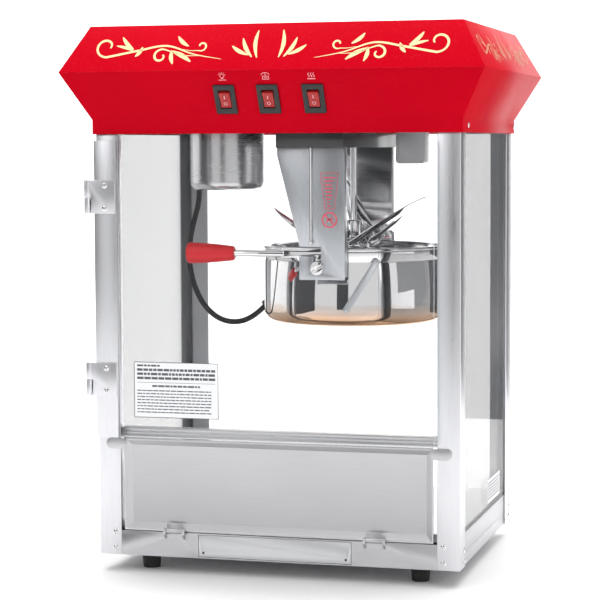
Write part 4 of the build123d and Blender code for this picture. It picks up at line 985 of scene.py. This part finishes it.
def textRows(ink, left, low, right, rows, pitch, height, seed):  # rows of word-sized bars
    value = seed
    for row in range(rows):
        cursor, floor = left, low - row * pitch
        while cursor < right - 2:
            value = (value * 1103515245 + 12345) % 2 ** 31
            width = 2.5 + (value >> 12) % 60 / 10
            ink.bar(cursor, floor, min(cursor + width, right), floor + height)
            cursor += width + 1.0


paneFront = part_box("door_pane")[0][1]
labelPlane = printPlane((-0.1205, paneFront, 0.223), (1, 0, 0), (0, 0, 1))
film = Ink(labelPlane, 0.00006)
film.bar(-53.0, -33.5, 53.0, 33.5)
film.finish("door_label_film", "door", "label_film", "door_acrylic")
words = Ink(labelPlane, 0.00016)
words.frame(-53.0, -33.5, 53.0, 33.5, 0.8)
textRows(words, -49.0, 28.0, -20.0, 1, 3.0, 2.2, 5)
textRows(words, -49.0, 22.6, 49.0, 3, 5.0, 2.9, 11)
words.bar(-49.0, 8.6, 49.0, 9.0)
textRows(words, -30.0, 3.6, 30.0, 1, 3.0, 2.2, 17)
textRows(words, -49.0, -1.6, 44.0, 8, 3.7, 1.3, 23)
words.finish("door_label_words", "door", "grey_ink", "door_acrylic")

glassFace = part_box("side_glass")[1][0]
ratingPlane = printPlane((glassFace, 0.058, 0.0815), (0, 1, 0), (0, 0, 1))
rating = Ink(ratingPlane, 0.00006)
rating.bar(-44.0, -15.5, 44.0, 15.5)
rating.finish("rating_label_film", "case", "label_film", "case_glass")
ratingWords = Ink(ratingPlane, 0.00016)
ratingWords.frame(-44.0, -15.5, 44.0, 15.5, 0.6)
textRows(ratingWords, -40.0, 9.0, 40.0, 6, 3.9, 1.8, 31)
ratingWords.finish("rating_label_words", "case", "grey_ink", "case_glass")

tagPlane = printPlane((0.0565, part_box("front_hanger_plate")[0][1], 0.4598), (1, 0, 0), (0, 0, 1))
tag = Ink(tagPlane, 0.00008)
outline = [(-11.0, 21.3), (11.0, 21.3), (6.2, -21.3), (-5.4, -21.3), (-11.0, 21.3)]
tag.stroke([point for a, b in zip(outline, outline[1:]) for point in (a, b)], (0.7, 0.7), 0)
for row in range(9):
    half = 7.6 - row * 0.62
    tag.bar(-half, 15.0 - row * 4.2, half - (row * 37 % 5) * 0.8, 16.5 - row * 4.2)
tag.ring(0.0, -34.3, 8.6, 1.7, 40)
tag.stroke([(-5.8, -28.6), (5.8, -40.0)], (1.5, 1.5), 0)
tag.stroke([(-3.6, -37.6), (-1.0, -33.4), (1.6, -34.0), (4.0, -31.6)], (1.2, 2.6, 1.2))
tag.finish("hanger_tag", "case", "red_ink", "hanger_steel")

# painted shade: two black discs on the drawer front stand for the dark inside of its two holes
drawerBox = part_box("drawer_front")
drawerFace = Ink(printPlane((0, drawerBox[0][1], 0), (1, 0, 0), (0, 0, 1)), 0.0001)
for spot in (drawerBox[0][0] / mm + 6.0, drawerBox[1][0] / mm - 6.0):
    level = drawerBox[0][2] / mm + 5.0
    disc = [(spot + 1.5 * math.cos(math.pi * i / 8), level + 1.5 * math.sin(math.pi * i / 8))
            for i in range(16)]
    drawerFace.add(disc, [tuple(range(16))])
drawerFace.finish("drawer_front_holes", "drawer", "black_plastic", "aluminium")
print("printed marks laid")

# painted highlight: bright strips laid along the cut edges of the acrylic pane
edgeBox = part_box("door_pane")
edgeLift = 0.00008
for name, (axis, at, way) in {"right_edge": (0, edgeBox[1][0], 1), "top_edge": (2, edgeBox[1][2], 1),
                              "bottom_edge": (2, edgeBox[0][2], -1)}.items():
    other = 2 if axis == 0 else 0
    corners = []
    for a, b in ((0, 0), (1, 0), (1, 1), (0, 1)):
        spot = [0.0, edgeBox[a][1], 0.0]
        spot[axis] = at + way * edgeLift
        spot[other] = edgeBox[b][other]
        corners.append(spot)
    edge = addMesh("pane_" + name, corners, [(0, 1, 2, 3)], False)
    way3 = Vector([way if i == axis else 0 for i in range(3)])
    if edge.data.polygons[0].normal.dot(way3) < 0:
        edge.data.flip_normals()
    finishPiece(edge, "door", "door_acrylic", "pane_edge_highlight")

stageSettings = {"floor": (0.90, 0.90, 0.90), "width": 12.0, "near": -5.0, "flat": 1.6, "bend": 1.6,
                 "tall": 5.0, "seen": 1.0, "reflected": 0.74}


def softLight(name, spot, target, size, power, tint=(1, 1, 1)):
    data = bpy.data.lights.new(name, "AREA")
    data.shape = "RECTANGLE"
    data.size, data.size_y = size
    data.energy = power
    data.color = tint
    lamp = bpy.data.objects.new(name, data)
    lamp.location = spot
    aim = Vector(target) - Vector(spot)
    lamp.rotation_euler = aim.to_track_quat("-Z", "Y").to_euler()
    bpy.context.collection.objects.link(lamp)
    return lamp


def card(name, corners, color, glow):  # a panel that only reflections see
    panel = addMesh(name, corners, [(0, 1, 2, 3)], False)
    material, tree, shader = newMaterial(name, color, Roughness=0.9)
    shader.inputs["Emission Color"].default_value = (*color, 1.0)
    shader.inputs["Emission Strength"].default_value = glow
    fade = mapRange(tree, stretchedNoise(tree, (1, 1, 1), 0.8), 0.2, 0.8, 0.0, 1.0)
    tree.links.new(mixColor(tree, fade, color, tuple(c * 0.8 for c in color)), shader.inputs["Base Color"])
    panel.data.materials.append(material)
    panel.visible_camera = False
    panel.visible_diffuse = False
    panel.visible_shadow = False
    panel.visible_transmission = False


def makeStage(s):
    profile = [(s["near"], 0.0), (s["flat"], 0.0)]
    for step in range(1, 25):
        angle = math.radians(90 * step / 24)
        profile.append((s["flat"] + s["bend"] * math.sin(angle), s["bend"] * (1 - math.cos(angle))))
    profile.append((s["flat"] + s["bend"], s["tall"]))
    half = s["width"] / 2
    verts = [(x, y, z) for y, z in profile for x in (-half, half)]
    faces = [(2 * i, 2 * i + 1, 2 * i + 3, 2 * i + 2) for i in range(len(profile) - 1)]
    sweep = addMesh("backdrop", verts, faces, True)
    material, tree, shader = newMaterial("pale_paper", s["floor"], Roughness=0.7)
    cloud = mapRange(tree, stretchedNoise(tree, (1, 1, 1), 2.0), 0.3, 0.7, 0.0, 1.0)
    tree.links.new(mixColor(tree, cloud, s["floor"], tuple(c * 0.985 for c in s["floor"])),
                   shader.inputs["Base Color"])
    sweep.data.materials.append(material)
    world = bpy.data.worlds.new("studio")
    world.use_nodes = True
    tree = world.node_tree
    back = tree.nodes["Background"]
    back.inputs["Color"].default_value = (1.0, 1.0, 1.0, 1.0)
    rays = tree.nodes.new("ShaderNodeLightPath")
    level = mapRange(tree, rays.outputs["Is Camera Ray"], 0.0, 1.0, s["reflected"], s["seen"])
    tree.links.new(level, back.inputs["Strength"])
    bpy.context.scene.world = world
    softLight("key", (-1.5, -2.3, 2.1), (0, 0, 0.35), (1.4, 1.1), 13)
    softLight("fill", (2.6, -1.4, 1.3), (0, 0, 0.35), (1.0, 1.6), 8)
    softLight("overhead", (0.0, 0.4, 3.2), (0, 0.2, 0.3), (2.6, 2.6), 36)
    softLight("paper_light", (0.0, 0.3, 2.9), (0, 2.9, 1.0), (3.5, 1.5), 140)
    card("dark_card", [(-0.4, -3.4, 0.0), (0.45, -3.4, 0.0), (0.45, -3.4, 2.2), (-0.4, -3.4, 2.2)],
         (0.02, 0.02, 0.022), 0.0)
    card("left_dark_card", [(-1.7, -2.4, 0.0), (-1.7, -0.45, 0.0), (-1.7, -0.45, 1.6), (-1.7, -2.4, 1.6)],
         (0.03, 0.03, 0.033), 0.0)
    card("left_card", [(-2.3, -0.4, 0.0), (-2.3, 1.3, 0.0), (-2.3, 1.3, 1.5), (-2.3, -0.4, 1.5)],
         (1.0, 1.0, 1.0), 1.5)
    card("right_card", [(2.4, -1.3, 0.1), (2.4, 0.2, 0.1), (2.4, 0.2, 0.6), (2.4, -1.3, 0.6)],
         (1.0, 1.0, 1.0), 1.3)
    card("rear_grey_card", [(0.36, 1.3, 0.0), (1.9, 1.3, 0.0), (1.9, 1.3, 1.5), (0.36, 1.3, 1.5)],
         (0.09, 0.09, 0.10), 0.0)
    bpy.context.scene.view_settings.view_transform = "Standard"


makeStage(stageSettings)
print("stage ready")
